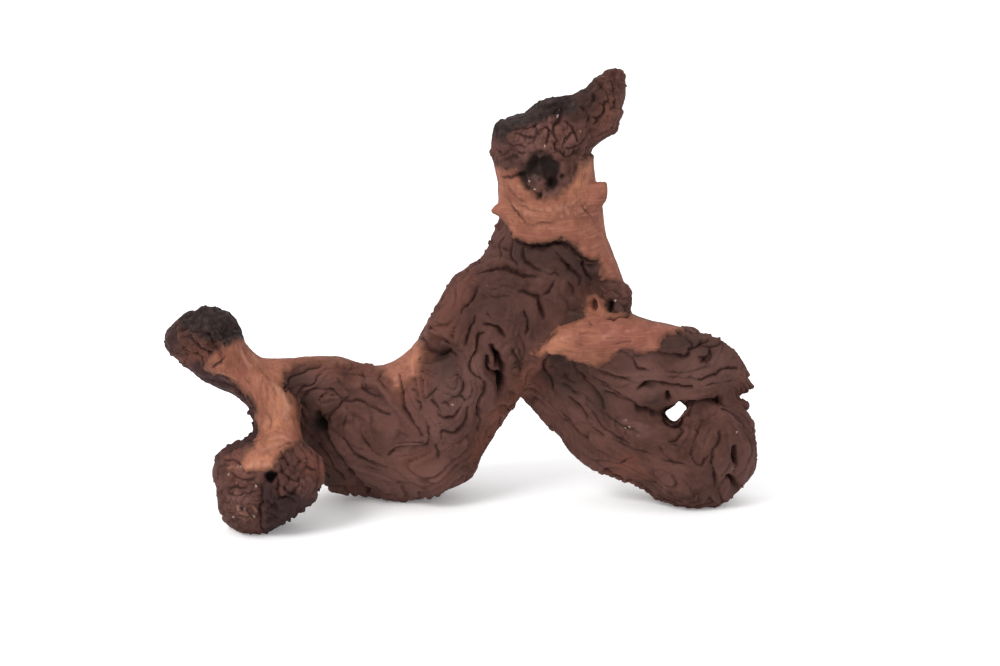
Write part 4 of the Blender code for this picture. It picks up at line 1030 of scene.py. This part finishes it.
def distance_to_outline(spots, outline):
    nearest = np.full(len(spots), np.inf)
    corners = np.array(outline, float)
    for start, end in zip(corners, np.roll(corners, -1, axis=0)):
        along = end - start
        share = np.clip((spots - start) @ along / (along @ along), 0.0, 1.0)
        nearest = np.minimum(nearest, np.linalg.norm(spots - start - share[:, None] * along, axis=1))
    return nearest


def wanderings(points, values):
    """Slow and quick shifts to and fro in the front view, that turn outlines drawn there ragged."""
    return [np.stack([speckle(points + start, size, values) for start in (0.0, 0.1)], axis=1)
            for size in WANDER_SIZES]


def gap_into(spots, outlines):
    """How far inside the nearest of the outlines each spot lies, in mm, and negative outside."""
    best = np.full(len(spots), -np.inf)
    for outline in outlines:
        gap = distance_to_outline(spots, outline)
        gap[~inside_outline(spots, outline)] *= -1
        best = np.maximum(best, gap)
    return best * UNIT / MM


def pit_depths(points, spots, skin, values):
    """How deep the knot holes are, and how much of the stub stands in the top one."""
    ragged = 1.0 + PIT_RAGGEDNESS * speckle(points, PIT_EDGE_SIZE, values)
    sunk = np.zeros(len(points))
    for at, half_width, half_height, depth in PITS:
        hit = hit_on(skin, at)
        reach = (spots - np.array(at, float)) * UNIT / MM / np.array((half_width, half_height))
        dip = depth * MM * np.exp(-((np.linalg.norm(reach, axis=1) * ragged) ** PIT_STEEPNESS))
        dip[np.linalg.norm(points - np.array(hit), axis=1) > PIT_REACH] = 0.0
        sunk = np.maximum(sunk, dip)
    at, half_width, half_height, height = STUB
    reach = (spots - np.array(at, float)) * UNIT / MM / np.array((half_width, half_height))
    stub = np.exp(-((np.linalg.norm(reach, axis=1) / ragged) ** PIT_STEEPNESS))
    return sunk - np.minimum(sunk, height * MM) * stub, stub


def cut_opening(root):
    """The hole that goes through the right lobe."""
    corners = smooth_run(OPENING + OPENING[:1], 3)[:-1]
    middle = corners.mean(axis=0)
    shape = bmesh.new()
    close_rings(shape, [
        [shape.verts.new(place(at, depth * MM)) for at in middle + (corners - middle) * size]
        for depth, size in OPENING_RUN
    ])
    cutter = new_object("opening_cutter", shape)
    cut = root.modifiers.new("opening", "BOOLEAN")
    cut.operation = "DIFFERENCE"
    cut.solver = "EXACT"
    cut.object = cutter
    apply_modifiers(root)
    bpy.data.objects.remove(cutter)


def shade(red, green, blue):
    """A colour as seen on a screen, 0 to 255, as the shader's linear values."""
    linear = [(x / 255 / 12.92) if x < 11 else ((x / 255 + 0.055) / 1.055) ** 2.4
              for x in (red, green, blue)]
    return (*linear, 1.0)


def chips(points, facets):
    """The height on tilted flat chips, as where wood has broken off, about -1 to 1."""
    scaled = points / CHIP_SIZE
    cells = np.floor(scaled).astype(int)
    best = np.full(len(points), np.inf)
    height = np.zeros(len(points))
    for step in itertools.product((-1, 0, 1), repeat=3):
        cell = cells + step
        facet = facets[cell[:, 0] % LATTICE, cell[:, 1] % LATTICE, cell[:, 2] % LATTICE]
        reach = scaled - (cell + 0.5 + 0.35 * np.clip(facet[:, :3], -1, 1))
        gap = np.sum(reach**2, axis=1)
        nearer = gap < best
        best[nearer] = gap[nearer]
        height[nearer] = (0.5 * facet[:, 3] + np.sum(reach * facet[:, 4:], axis=1))[nearer]
    return np.clip(height, -1.3, 1.3)


def patches(points, skin, places, edge):
    """Soft round patches: 1 at their middles and 0 away from them."""
    total = np.zeros(len(points))
    for reach, middles in places.items():
        for at in middles:
            hit = hit_on(skin, at)
            if hit:
                gap = np.linalg.norm(points - np.array(hit), axis=1) / (reach * MM)
                total = np.maximum(total, np.exp(-(gap**edge)))
    return total


def search_tree(points):
    tree = KDTree(len(points))
    for i, point in enumerate(points):
        tree.insert(point, i)
    tree.balance()
    return tree


def nearest_furrow(points, normals, runs, sizes, skin):
    """The distance to the nearest run, its sizes there, and how far to its left side it is."""
    middles, ways, lines, shares = on_skin(runs, skin)
    tree = search_tree(middles)
    found = [tree.find(p) for p in points]
    piece = np.array([index for _, index, _ in found])
    gap = np.array([distance for _, _, distance in found])
    near = np.array(sizes)[lines[piece]] * MM
    left = np.einsum("ij,ij->i", np.cross(normals, ways[piece]), points - middles[piece])
    end = np.minimum(shares, 1.0 - shares)[piece]
    near[:, 0] *= TAPERED + (1 - TAPERED) * eased(end, 0.0, 0.25)
    near[:, -1] *= 1.0 if len(sizes[0]) < 3 else eased(end, 0.0, 0.2)
    return gap, near, left


def runs_and_sizes(by_size):
    """The runs of a dictionary from sizes to runs, one after the other, and the size of each."""
    runs = [run for group in by_size.values() for run in group]
    return runs, [np.atleast_1d(size) for size, group in by_size.items() for _ in group]


def keep_largest(root):
    """Leaves out the bits of skin that touch nothing."""
    mesh = root.data
    ends = np.empty(len(mesh.edges) * 2, np.int32)
    mesh.edges.foreach_get("vertices", ends)
    ends = ends.reshape(-1, 2)
    body = np.arange(len(mesh.vertices))
    while True:
        lowest = np.minimum(body[ends[:, 0]], body[ends[:, 1]])
        joined = body.copy()
        np.minimum.at(joined, ends[:, 0], lowest)
        np.minimum.at(joined, ends[:, 1], lowest)
        np.minimum.at(joined, body, joined)
        joined = joined[joined]
        if np.array_equal(joined, body):
            break
        body = joined
    stray = body != np.bincount(body).argmax()
    if stray.any():
        shape = bmesh.new()
        shape.from_mesh(mesh)
        shape.verts.ensure_lookup_table()
        bmesh.ops.delete(shape, geom=[shape.verts[i] for i in np.flatnonzero(stray)], context="VERTS")
        shape.to_mesh(mesh)
        shape.free()


def carried(places, points, arrays):
    """Values known at some places, blended from the nearest few for each of the points."""
    tree = search_tree(places)
    found = [tree.find_n(p, NEIGHBOURS) for p in points]
    index = np.array([[i for _, i, _ in near] for near in found])
    weight = 1.0 / (np.array([[distance for _, _, distance in near] for near in found]) + 0.1 * MM)
    weight /= weight.sum(axis=1)[:, None]
    return [np.sum(values[index] * weight, axis=1) for values in arrays]


def fine_grain(points, flow):
    """Fine noise drawn out straight along the wood."""
    way = np.linalg.eigh(tensors_at(points, flow))[1][:, :, 2]
    values = lattice(SEED + 2)
    steps = int(GRAIN_REACH / GRAIN_STRIDE)
    total = np.zeros(len(points))
    for i in range(-steps, steps + 1):
        total += speckle(points + way * (i * GRAIN_STRIDE), GRAIN_SPACING, values)
    return total / np.std(total)


def folds_on(points, skin):
    """The slow flaps and the small folds, both worked out on the coarser skin."""
    middles, ways, _, _ = on_skin([run for _, _, _, run in FURROWS], skin)
    flow = growth(points, middles, ways)
    values = lattice(SEED)
    pattern = grain(points, flow, FOLD_SPACING, FOLD_REACH, FOLD_STRIDE, values) * FOLD_FLAPS
    small = grain(points + 0.05, flow, SMALL_SPACING, SMALL_REACH, SMALL_STRIDE, lattice(SEED + 1))
    return flow, pattern, small * SMALL_FLAPS


def creases_of(pattern, before, after):
    """1 along the creases of a flap pattern, fading before and after them; it sets where shade is painted.
    """
    share = pattern - np.floor(pattern)
    return np.exp(-((share / after) ** 1.2)) + np.exp(-((1 - share) / before))


def bend(points, normals, values):
    """The points shifted to and fro along the skin, so that lines drawn straight run unevenly."""
    bent = points.copy()
    for axis, start in enumerate((0.11, 0.23, 0.37)):
        for size, reach in FURROW_JITTERS:
            bent[:, axis] += reach * speckle(points + start, size, values)
    return bent - normals * np.einsum("ij,ij->i", bent - points, normals)[:, None]


def drawn_furrows(points, normals, skin, values):
    """The drawn furrows, with a narrow crease in each and a lip on one side, and the smaller ones.

    Gives the depth of both kinds, the painted shade in their creases and how far off the nearest drawn one
    is.
    """
    bent = bend(points, normals, values)
    varied = np.clip(1 + FURROW_UNEVENNESS * speckle(points + 0.7, UNEVEN_SIZE, values), 0.6, 1.5)
    runs = [run for _, _, _, run in FURROWS]
    sizes = [furrow[:3] for furrow in FURROWS]
    gap, near, left = nearest_furrow(bent, normals, runs, sizes, skin)
    depths, widths, lips = near.T
    side = np.clip(left / (SHARPNESS * widths), -1.0, 1.0)
    narrow = np.exp(-((gap / (SHARPNESS * widths * varied)) ** 2))
    broad = np.exp(-((gap / widths) ** 1.5))
    drawn = depths * (0.9 * narrow + 0.3 * broad)
    drawn -= lips * side * np.exp(-gap / (LIP_REACH * widths)) * (1 - narrow)
    # Painted shade in the narrow crease of each drawn furrow; the smaller furrows below add their own
    dark = narrow * np.clip(depths * varied / FULL_SHADE_DEPTH, 0.3, 1.0)
    fine_gap, near, _ = nearest_furrow(bent, normals, *runs_and_sizes(FINE_FURROWS), skin)
    depths, widths = near.T
    fine = np.exp(-((fine_gap / (FINE_NARROWNESS * widths * varied)) ** 2))
    fine *= np.clip(depths * varied / MM, 0, 1)
    return drawn, fine * depths, dark + fine, gap


def folds(points, skin, values, pattern, gap, bare, crumbly):
    """The flaps that run with the wood, weaker near the drawn furrows: height, painted shade in the
    creases and a painted highlight on the crests.
    """
    bark = 1.0 - bare
    fade_from, fade_to, least = FOLD_FADE
    calm = CALMEST + (1 - CALMEST) * eased(speckle(points + 0.3, CALM_SIZE, values), -0.5, 0.5)
    calm *= least + (1 - least) * eased(gap, fade_from, fade_to)
    calm *= 1 - 0.9 * patches(points, skin, CALM_PATCHES, RELIEF_EDGE)
    height = FOLD_HEIGHT * flap(pattern) * calm * (1 - (1 - BARE_RELIEF) * bare)
    height *= 1 - 0.7 * crumbly * bark
    share = pattern - np.floor(pattern)
    # Painted shade along the creases of the flaps
    dark = creases_of(pattern, *CREASE_SHADE_WIDTHS) * calm * bark
    # Painted highlight along the crests of the flaps
    crest_highlight = np.exp(-(((share - CREST_HIGHLIGHT_AT) / CREST_HIGHLIGHT_WIDTH) ** 2)) * calm * bark
    return height, dark * (1 - 0.8 * crumbly), crest_highlight * (1 - 0.8 * crumbly)


def crumbs_and_chips(points, values, crumbly, bark):
    """The crumbs, smaller away from the crumbly patches, and the chips: height, and painted shade in the
    cracks between crumbs.
    """
    large, little = CRUMB_SIZES
    crumbs = np.minimum(np.abs(speckle(points, large, lattice(SEED + 3))) * 1.3,
                        np.abs(speckle(points + 0.07, little, values)) + 0.05)
    crumby = (CRUMBS_ELSEWHERE + (1 - CRUMBS_ELSEWHERE) * crumbly) * bark
    height = CRUMB_HEIGHT * (np.minimum(crumbs, 0.7) - 0.3) * crumby
    facets = np.random.default_rng(SEED + 4).normal(size=(LATTICE, LATTICE, LATTICE, 7))
    height += CHIP_HEIGHT * chips(points, facets) * crumbly * bark
    # Painted shade in the cracks between crumbs
    return height, eased(0.22 - crumbs, 0.0, 0.22) * crumbly * bark


def rugged_skin(points, skin, values):
    """Broken-up skin, strongest along the frayed edges, about -1 to 1."""
    broad_size, near_size = RUGGED_SIZES
    frayed = patches(points, skin, RUGGED_PATCHES, RELIEF_EDGE)
    rough = 0.6 * speckle(points + 0.2, broad_size, values)
    rough += 0.4 * speckle(points + 0.45, near_size, lattice(SEED + 5))
    return (RUGGED_ELSEWHERE + (1 - RUGGED_ELSEWHERE) * frayed) * rough


def pale_streaks(points, normals, skin, values):
    gap, near, _ = nearest_furrow(points, normals, *runs_and_sizes(PALE_STREAKS), skin)
    ragged = np.clip(1 + 0.5 * speckle(points + 0.15, STREAK_EDGE_SIZE, values), 0.4, 2.0)
    return np.exp(-((gap / (np.maximum(near[:, 0], 0.1 * MM) * ragged)) ** 2))


def raise_skin(root, flow, pattern, small, skin):
    """Moves the skin in and out, and returns what its colour needs at each point."""
    points, normals = points_and_normals(root)
    spots = seen_at(points)
    values = lattice(SEED)
    slow, quick = wanderings(points, values)
    into_bare = gap_into(spots + BARE_WANDER * slow + QUICK_WANDER * quick, BARE_WOOD)
    bare = eased(into_bare, -0.5, 0.5)
    bark = 1.0 - bare

    drawn, fine_drawn, dark, gap = drawn_furrows(points, normals, skin, values)
    crumbly = patches(points, skin, CRUMBLY_PATCHES, RELIEF_EDGE)
    fold, fold_shade, crest_highlight = folds(points, skin, values, pattern, gap, bare, crumbly)
    crumb, crumb_shade = crumbs_and_chips(points, values, crumbly, bark)
    rugged = rugged_skin(points, skin, values)
    busy = eased(speckle(points + 0.6, BUSY_SIZE, values), -0.4, 0.8) * bark * (1 - 0.6 * crumbly)
    small_fold = SMALL_HEIGHT * (flap(small) - 0.5) * busy
    # Painted shade in the creases of the small folds
    small_fold_shade = creases_of(small, *CREASE_SHADE_WIDTHS) * busy
    fibre = fine_grain(points, flow)
    streak = pale_streaks(points, normals, skin, values)
    swell = speckle(points, SWELL_SIZE, values) * SWELL_HEIGHT * (1 - (1 - BARE_SWELL) * bare)
    pits, stub = pit_depths(points, spots, skin, values)

    relief = swell + fold + bare * BARE_RISE + FOLD_RISE * bark
    relief -= drawn + pits + fine_drawn
    relief += small_fold + crumb + RUGGED_HEIGHT * rugged * bark
    relief += STUB_ROUGHNESS * speckle(points + 0.9, STUB_GRAIN, values) * stub
    relief += fibre * GRAIN_HEIGHT * (0.6 + 0.4 * bark)
    relief += np.sin(pattern * 9.0) * BARE_WAVE * bare
    relief *= eased(points[:, 2] - points[:, 2].min(), 0.0, WORN_HEIGHT)
    set_points(root, points + normals * relief[:, None])

    looks = {
        "bare": into_bare,
        # Painted shade in all creases, furrows and cracks
        "crease": np.clip(dark + fold_shade + 0.35 * small_fold_shade + 0.6 * crumb_shade, 0.0, 1.0),
        # Painted shade in the knot holes, fuller the deeper they are
        "hollow": np.clip(pits / HOLLOW_SHADE_DEPTH, 0.0, 1.0),
        "stub": stub,
        # Painted highlight on the fold crests
        "crest_highlight": np.clip(crest_highlight, 0.0, 1.0),
        "fibre": fibre,
        "fleck": patches(points, skin, PALE_FLECKS, FLECK_EDGE),
        "streak": streak,
    }
    for name, (wander, outlines) in COLOUR_OUTLINES.items():
        looks[name] = gap_into(spots + wander * slow + QUICK_WANDER * quick, outlines)
    for name, places in TINT_PATCHES.items():
        looks[name] = patches(points, skin, places, TINT_EDGE)
    return looks


def carry_looks(looks, old_points, root):
    """Gives each vertex of the thinned skin the looks of the nearest point of the full one."""
    tree = search_tree(old_points)
    points, _ = points_and_normals(root)
    nearest = np.array([tree.find(p)[1] for p in points])
    for name, values in looks.items():
        attribute = root.data.attributes.new(name, "FLOAT", "POINT")
        attribute.data.foreach_set("value", values[nearest].astype(np.float32))


def thin_out(root):
    root.data.calc_loop_triangles()
    count = len(root.data.loop_triangles)
    if count > MOST_TRIANGLES:
        decimate = root.modifiers.new("thin_out", "DECIMATE")
        decimate.ratio = MOST_TRIANGLES / count
        apply_modifiers(root)


def set_in_frame(root, box):
    """Moves the skin to the solid's place and keeps it within the solid's box."""
    points, _ = points_and_normals(root)
    points = np.clip(points - np.array(BASE_MIDDLE), np.array(box[0]), np.array(box[1]))
    set_points(root, points)


class Shading:
    """Short ways to add and join the nodes of one material."""

    def __init__(self, name):
        self.material = bpy.data.materials.new(name)
        self.material.use_nodes = True
        self.tree = self.material.node_tree
        self.shader = self.tree.nodes["Principled BSDF"]

    def plug(self, socket, value):
        if isinstance(value, bpy.types.NodeSocket):
            self.tree.links.new(value, socket)
        else:
            socket.default_value = value

    def set_inputs(self, node, values):
        for name, value in values.items():
            node.inputs[name].default_value = value

    def look(self, name):
        node = self.tree.nodes.new("ShaderNodeAttribute")
        node.attribute_type = "GEOMETRY"
        node.attribute_name = name
        return node.outputs["Fac"]

    def across(self):
        spot = self.tree.nodes.new("ShaderNodeTexCoord").outputs["Object"]
        split = self.tree.nodes.new("ShaderNodeSeparateXYZ")
        self.plug(split.inputs["Vector"], spot)
        return split.outputs["X"]

    def noise(self, scale, detail=3.0, roughness=0.55, stretch=None):
        spot = self.tree.nodes.new("ShaderNodeTexCoord").outputs["Object"]
        if stretch:
            mapping = self.tree.nodes.new("ShaderNodeMapping")
            mapping.inputs["Scale"].default_value = stretch
            self.plug(mapping.inputs["Vector"], spot)
            spot = mapping.outputs["Vector"]
        node = self.tree.nodes.new("ShaderNodeTexNoise")
        self.plug(node.inputs["Vector"], spot)
        self.set_inputs(node, {"Scale": scale, "Detail": detail, "Roughness": roughness})
        return node.outputs["Fac"]

    def math(self, operation, first, second=0.0, third=0.0):
        node = self.tree.nodes.new("ShaderNodeMath")
        node.operation = operation
        self.plug(node.inputs[0], first)
        self.plug(node.inputs[1], second)
        if operation == "MULTIPLY_ADD":
            self.plug(node.inputs[2], third)
        return node.outputs[0]

    def step(self, value, low, high, start=0.0, end=1.0):
        node = self.tree.nodes.new("ShaderNodeMapRange")
        node.interpolation_type = "SMOOTHSTEP"
        self.plug(node.inputs["Value"], value)
        self.set_inputs(node, {"From Min": low, "From Max": high, "To Min": start, "To Max": end})
        return node.outputs["Result"]

    def mix(self, share, first, second):
        node = self.tree.nodes.new("ShaderNodeMix")
        node.data_type = "RGBA"
        self.plug(node.inputs["Factor"], share)
        self.plug(node.inputs[6], first)
        self.plug(node.inputs[7], second)
        return node.outputs[2]

    def tint(self, base, value, low, high, most, colour):
        """The base with a colour over it that comes in as the value goes from low to high."""
        return self.mix(self.step(value, low, high, 0.0, most), base, shade(*colour))

    def stain_and_painted_light(self, base, name, most, colour):
        """The base with a colour over it where the skin has this look; used for real tints and for painted
        shade and highlights.
        """
        return self.mix(self.math("MULTIPLY", self.look(name), most), base, shade(*colour))

    def frayed(self, name, give, noise):
        """How far inside an outline the skin lies, with the edge broken up by a noise."""
        return self.math("MULTIPLY_ADD", self.math("SUBTRACT", noise, 0.5), give, self.look(name))


def root_material():
    """Folded dark bark, bare tan wood and char, mixed by what the skin says, with painted shade and
    highlights.
    """
    s = Shading("root_wood")
    fine = s.noise(1100.0, 4.0, 0.6)
    middling = s.noise(260.0, 4.0, 0.6)
    broad = s.noise(60.0, 3.0, 0.5)
    fibre = s.look("fibre")

    bark = s.mix(s.step(broad, 0.35, 0.65), shade(66, 40, 34), shade(82, 52, 46))
    bark = s.tint(bark, middling, 0.45, 0.8, 0.45, (97, 66, 58))
    bark = s.tint(bark, fibre, -0.8, -2.4, 0.35, (50, 28, 24))
    bark = s.tint(bark, fibre, 1.0, 2.6, 0.2, (104, 72, 64))
    thin = s.frayed("thin", 9.0, middling)
    bark = s.tint(bark, thin, -3.0, 3.5, 0.6, (100, 59, 48))
    # Warm red tone, partly painted light on the lower parts
    bark = s.stain_and_painted_light(bark, "warm_and_lit", 0.45, (98, 58, 46))
    # Dark olive tone, partly painted shade in recesses
    bark = s.stain_and_painted_light(bark, "murk_and_shade", 0.75, (42, 31, 25))
    # Painted highlight on the crests of the folds
    bark = s.stain_and_painted_light(bark, "crest_highlight", 0.3, (106, 76, 70))
    # Lighter tone, partly painted light low on the root
    bark = s.stain_and_painted_light(bark, "lighter_and_lit", 0.4, (112, 79, 73))
    # Darker tone, partly painted shade in recesses
    bark = s.stain_and_painted_light(bark, "deeper_and_shaded", 0.5, (44, 26, 23))

    flat_lines = s.noise(1.0, 3.0, 0.6, (90.0, 90.0, 900.0))
    upright_lines = s.noise(1.0, 3.0, 0.6, (900.0, 500.0, 80.0))
    lines = s.mix(s.step(s.across(), COLUMN_END, COLUMN_END + 0.01), upright_lines, flat_lines)
    tan = s.mix(s.step(broad, 0.35, 0.68), shade(134, 84, 67), shade(118, 71, 59))
    tan = s.stain_and_painted_light(tan, "golden", 0.85, (158, 104, 78))
    tan = s.stain_and_painted_light(tan, "pink", 0.7, (122, 72, 60))
    tan = s.stain_and_painted_light(tan, "sallow", 0.7, (112, 70, 52))
    blotch = s.noise(150.0, 2.0, 0.5)
    tan = s.tint(tan, blotch, 0.5, 0.64, 0.3, (150, 99, 80))
    tan = s.tint(tan, blotch, 0.46, 0.34, 0.45, (104, 62, 50))
    tan = s.tint(tan, lines, 0.52, 0.75, 0.3, (172, 118, 94))
    tan = s.tint(tan, lines, 0.48, 0.28, 0.4, (102, 60, 48))
    tan = s.tint(tan, middling, 0.42, 0.25, 0.5, (98, 57, 45))
    tan = s.tint(tan, fibre, -0.5, -2.2, 0.25, (98, 56, 42))
    tan = s.tint(tan, fine, 0.64, 0.76, 0.4, (90, 52, 40))

    char = s.mix(s.step(middling, 0.4, 0.7), shade(33, 24, 22), shade(56, 42, 40))

    edge = s.frayed("bare", 2.2, middling)
    stained = s.mix(s.step(edge, 3.2, 0.2, 0.0, 0.8), tan, shade(86, 56, 42))
    colour = s.mix(s.step(edge, -0.35, 0.35), bark, stained)
    dusk = s.frayed("dusk", 6.0, middling)
    colour = s.tint(colour, dusk, -1.5, 2.0, 0.8, (42, 27, 27))
    burnt = s.frayed("char", 6.0, middling)
    colour = s.mix(s.step(burnt, -2.0, 2.0), colour, char)
    # Painted shade: near-black red-brown in the creases, furrows and cracks
    colour = s.stain_and_painted_light(colour, "crease", 0.9, (32, 13, 10))
    colour = s.stain_and_painted_light(colour, "streak", 0.45, (168, 122, 102))
    # Painted shade: the knot holes and pockets go near black with depth; the stub in the top one keeps a
    # brown of its own
    lit = s.math("MULTIPLY", s.look("stub"), s.step(middling, 0.42, 0.62, 0.2, 0.8))
    dark = s.mix(lit, shade(12, 7, 5), shade(92, 66, 60))
    colour = s.mix(s.step(s.look("hollow"), 0.15, 0.8, 0.0, 0.92), colour, dark)
    colour = s.tint(colour, s.look("fleck"), 0.3, 0.7, 0.75, (160, 136, 130))
    s.plug(s.shader.inputs["Base Color"], colour)
    s.plug(s.shader.inputs["Roughness"], s.step(fine, 0.3, 0.7, 0.62, 0.82))
    s.shader.inputs["Specular IOR Level"].default_value = 0.13

    bump = s.tree.nodes.new("ShaderNodeBump")
    s.set_inputs(bump, {"Strength": 0.3, "Distance": 0.5 * MM})
    s.plug(bump.inputs["Height"], s.math("MULTIPLY_ADD", middling, 0.8, fine))
    s.plug(s.shader.inputs["Normal"], bump.outputs["Normal"])
    return s.material


def make_root():
    root = rough_root()
    fuse(root, FUSE_VOXEL, FUSE_SMOOTHING)
    add_flakes(root)
    fuse(root, FUSE_VOXEL, 0)
    cut_opening(root)
    crisp = root.data.copy()
    fuse(root, FUSE_VOXEL, 1)
    coarse, _ = points_and_normals(root)
    skin = BVHTree.FromPolygons(
        [Vector(p) for p in coarse], [tuple(f.vertices) for f in root.data.polygons]
    )
    flow, pattern, small = folds_on(coarse, skin)
    root.data = crisp
    add_flakes(root)
    add_fringes(root, skin)
    fuse(root, FINE_VOXEL, 1)
    keep_largest(root)
    full, _ = points_and_normals(root)
    pattern, small = carried(coarse, full, (pattern, small))
    looks = raise_skin(root, flow, pattern, small, skin)
    full, _ = points_and_normals(root)
    thin_out(root)
    carry_looks(looks, full, root)
    set_in_frame(root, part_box("dry_root"))
    root.name = "root_skin"
    root.data.materials.clear()
    root.data.materials.append(root_material())
    root.data.shade_smooth()
    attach(root, "root")
    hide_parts("dry_root")


def make_floor():
    half = FLOOR_SIZE / 2
    corners = [(-half, -half, 0), (half, -half, 0), (half, half, 0), (-half, half, 0)]
    mesh = bpy.data.meshes.new("floor")
    mesh.from_pydata(corners, [], [(0, 1, 2, 3)])
    floor = in_scene("floor", mesh)
    s = Shading("floor_white")
    s.set_inputs(s.shader, {
        "Base Color": (0.92, 0.92, 0.92, 1.0),
        "Roughness": 0.9,
        "Specular IOR Level": 0.1,
        "Emission Color": (1.0, 1.0, 1.0, 1.0),
        "Emission Strength": 0.14,
    })
    mesh.materials.append(s.material)


def make_key_light():
    light = bpy.data.lights.new("key", "AREA")
    light.shape = "DISK"
    light.size = KEY_SIZE
    light.energy = KEY_POWER
    lamp = in_scene("key", light)
    lamp.location = KEY_AT
    lamp.rotation_euler = (KEY_AIM - KEY_AT).to_track_quat("-Z", "Y").to_euler()


def make_studio():
    world = bpy.data.worlds.new("studio")
    world.use_nodes = True
    background = world.node_tree.nodes["Background"]
    background.inputs["Color"].default_value = (1.0, 1.0, 1.0, 1.0)
    background.inputs["Strength"].default_value = SKY_STRENGTH
    bpy.context.scene.world = world
    bpy.context.scene.view_settings.view_transform = "Standard"
    make_key_light()
    make_floor()


def make_camera():
    lens = bpy.data.cameras.new("camera")
    lens.sensor_width = SENSOR
    lens.lens = SENSOR * VIEW_DISTANCE / (PICTURE_COLUMNS * UNIT)
    camera = in_scene("camera", lens)
    turn = Matrix((ACROSS, UPWARD, -AHEAD)).transposed().to_4x4()
    camera.matrix_world = Matrix.Translation(EYE - BASE_MIDDLE) @ turn
    bpy.context.scene.camera = camera


make_root()
make_studio()
make_camera()
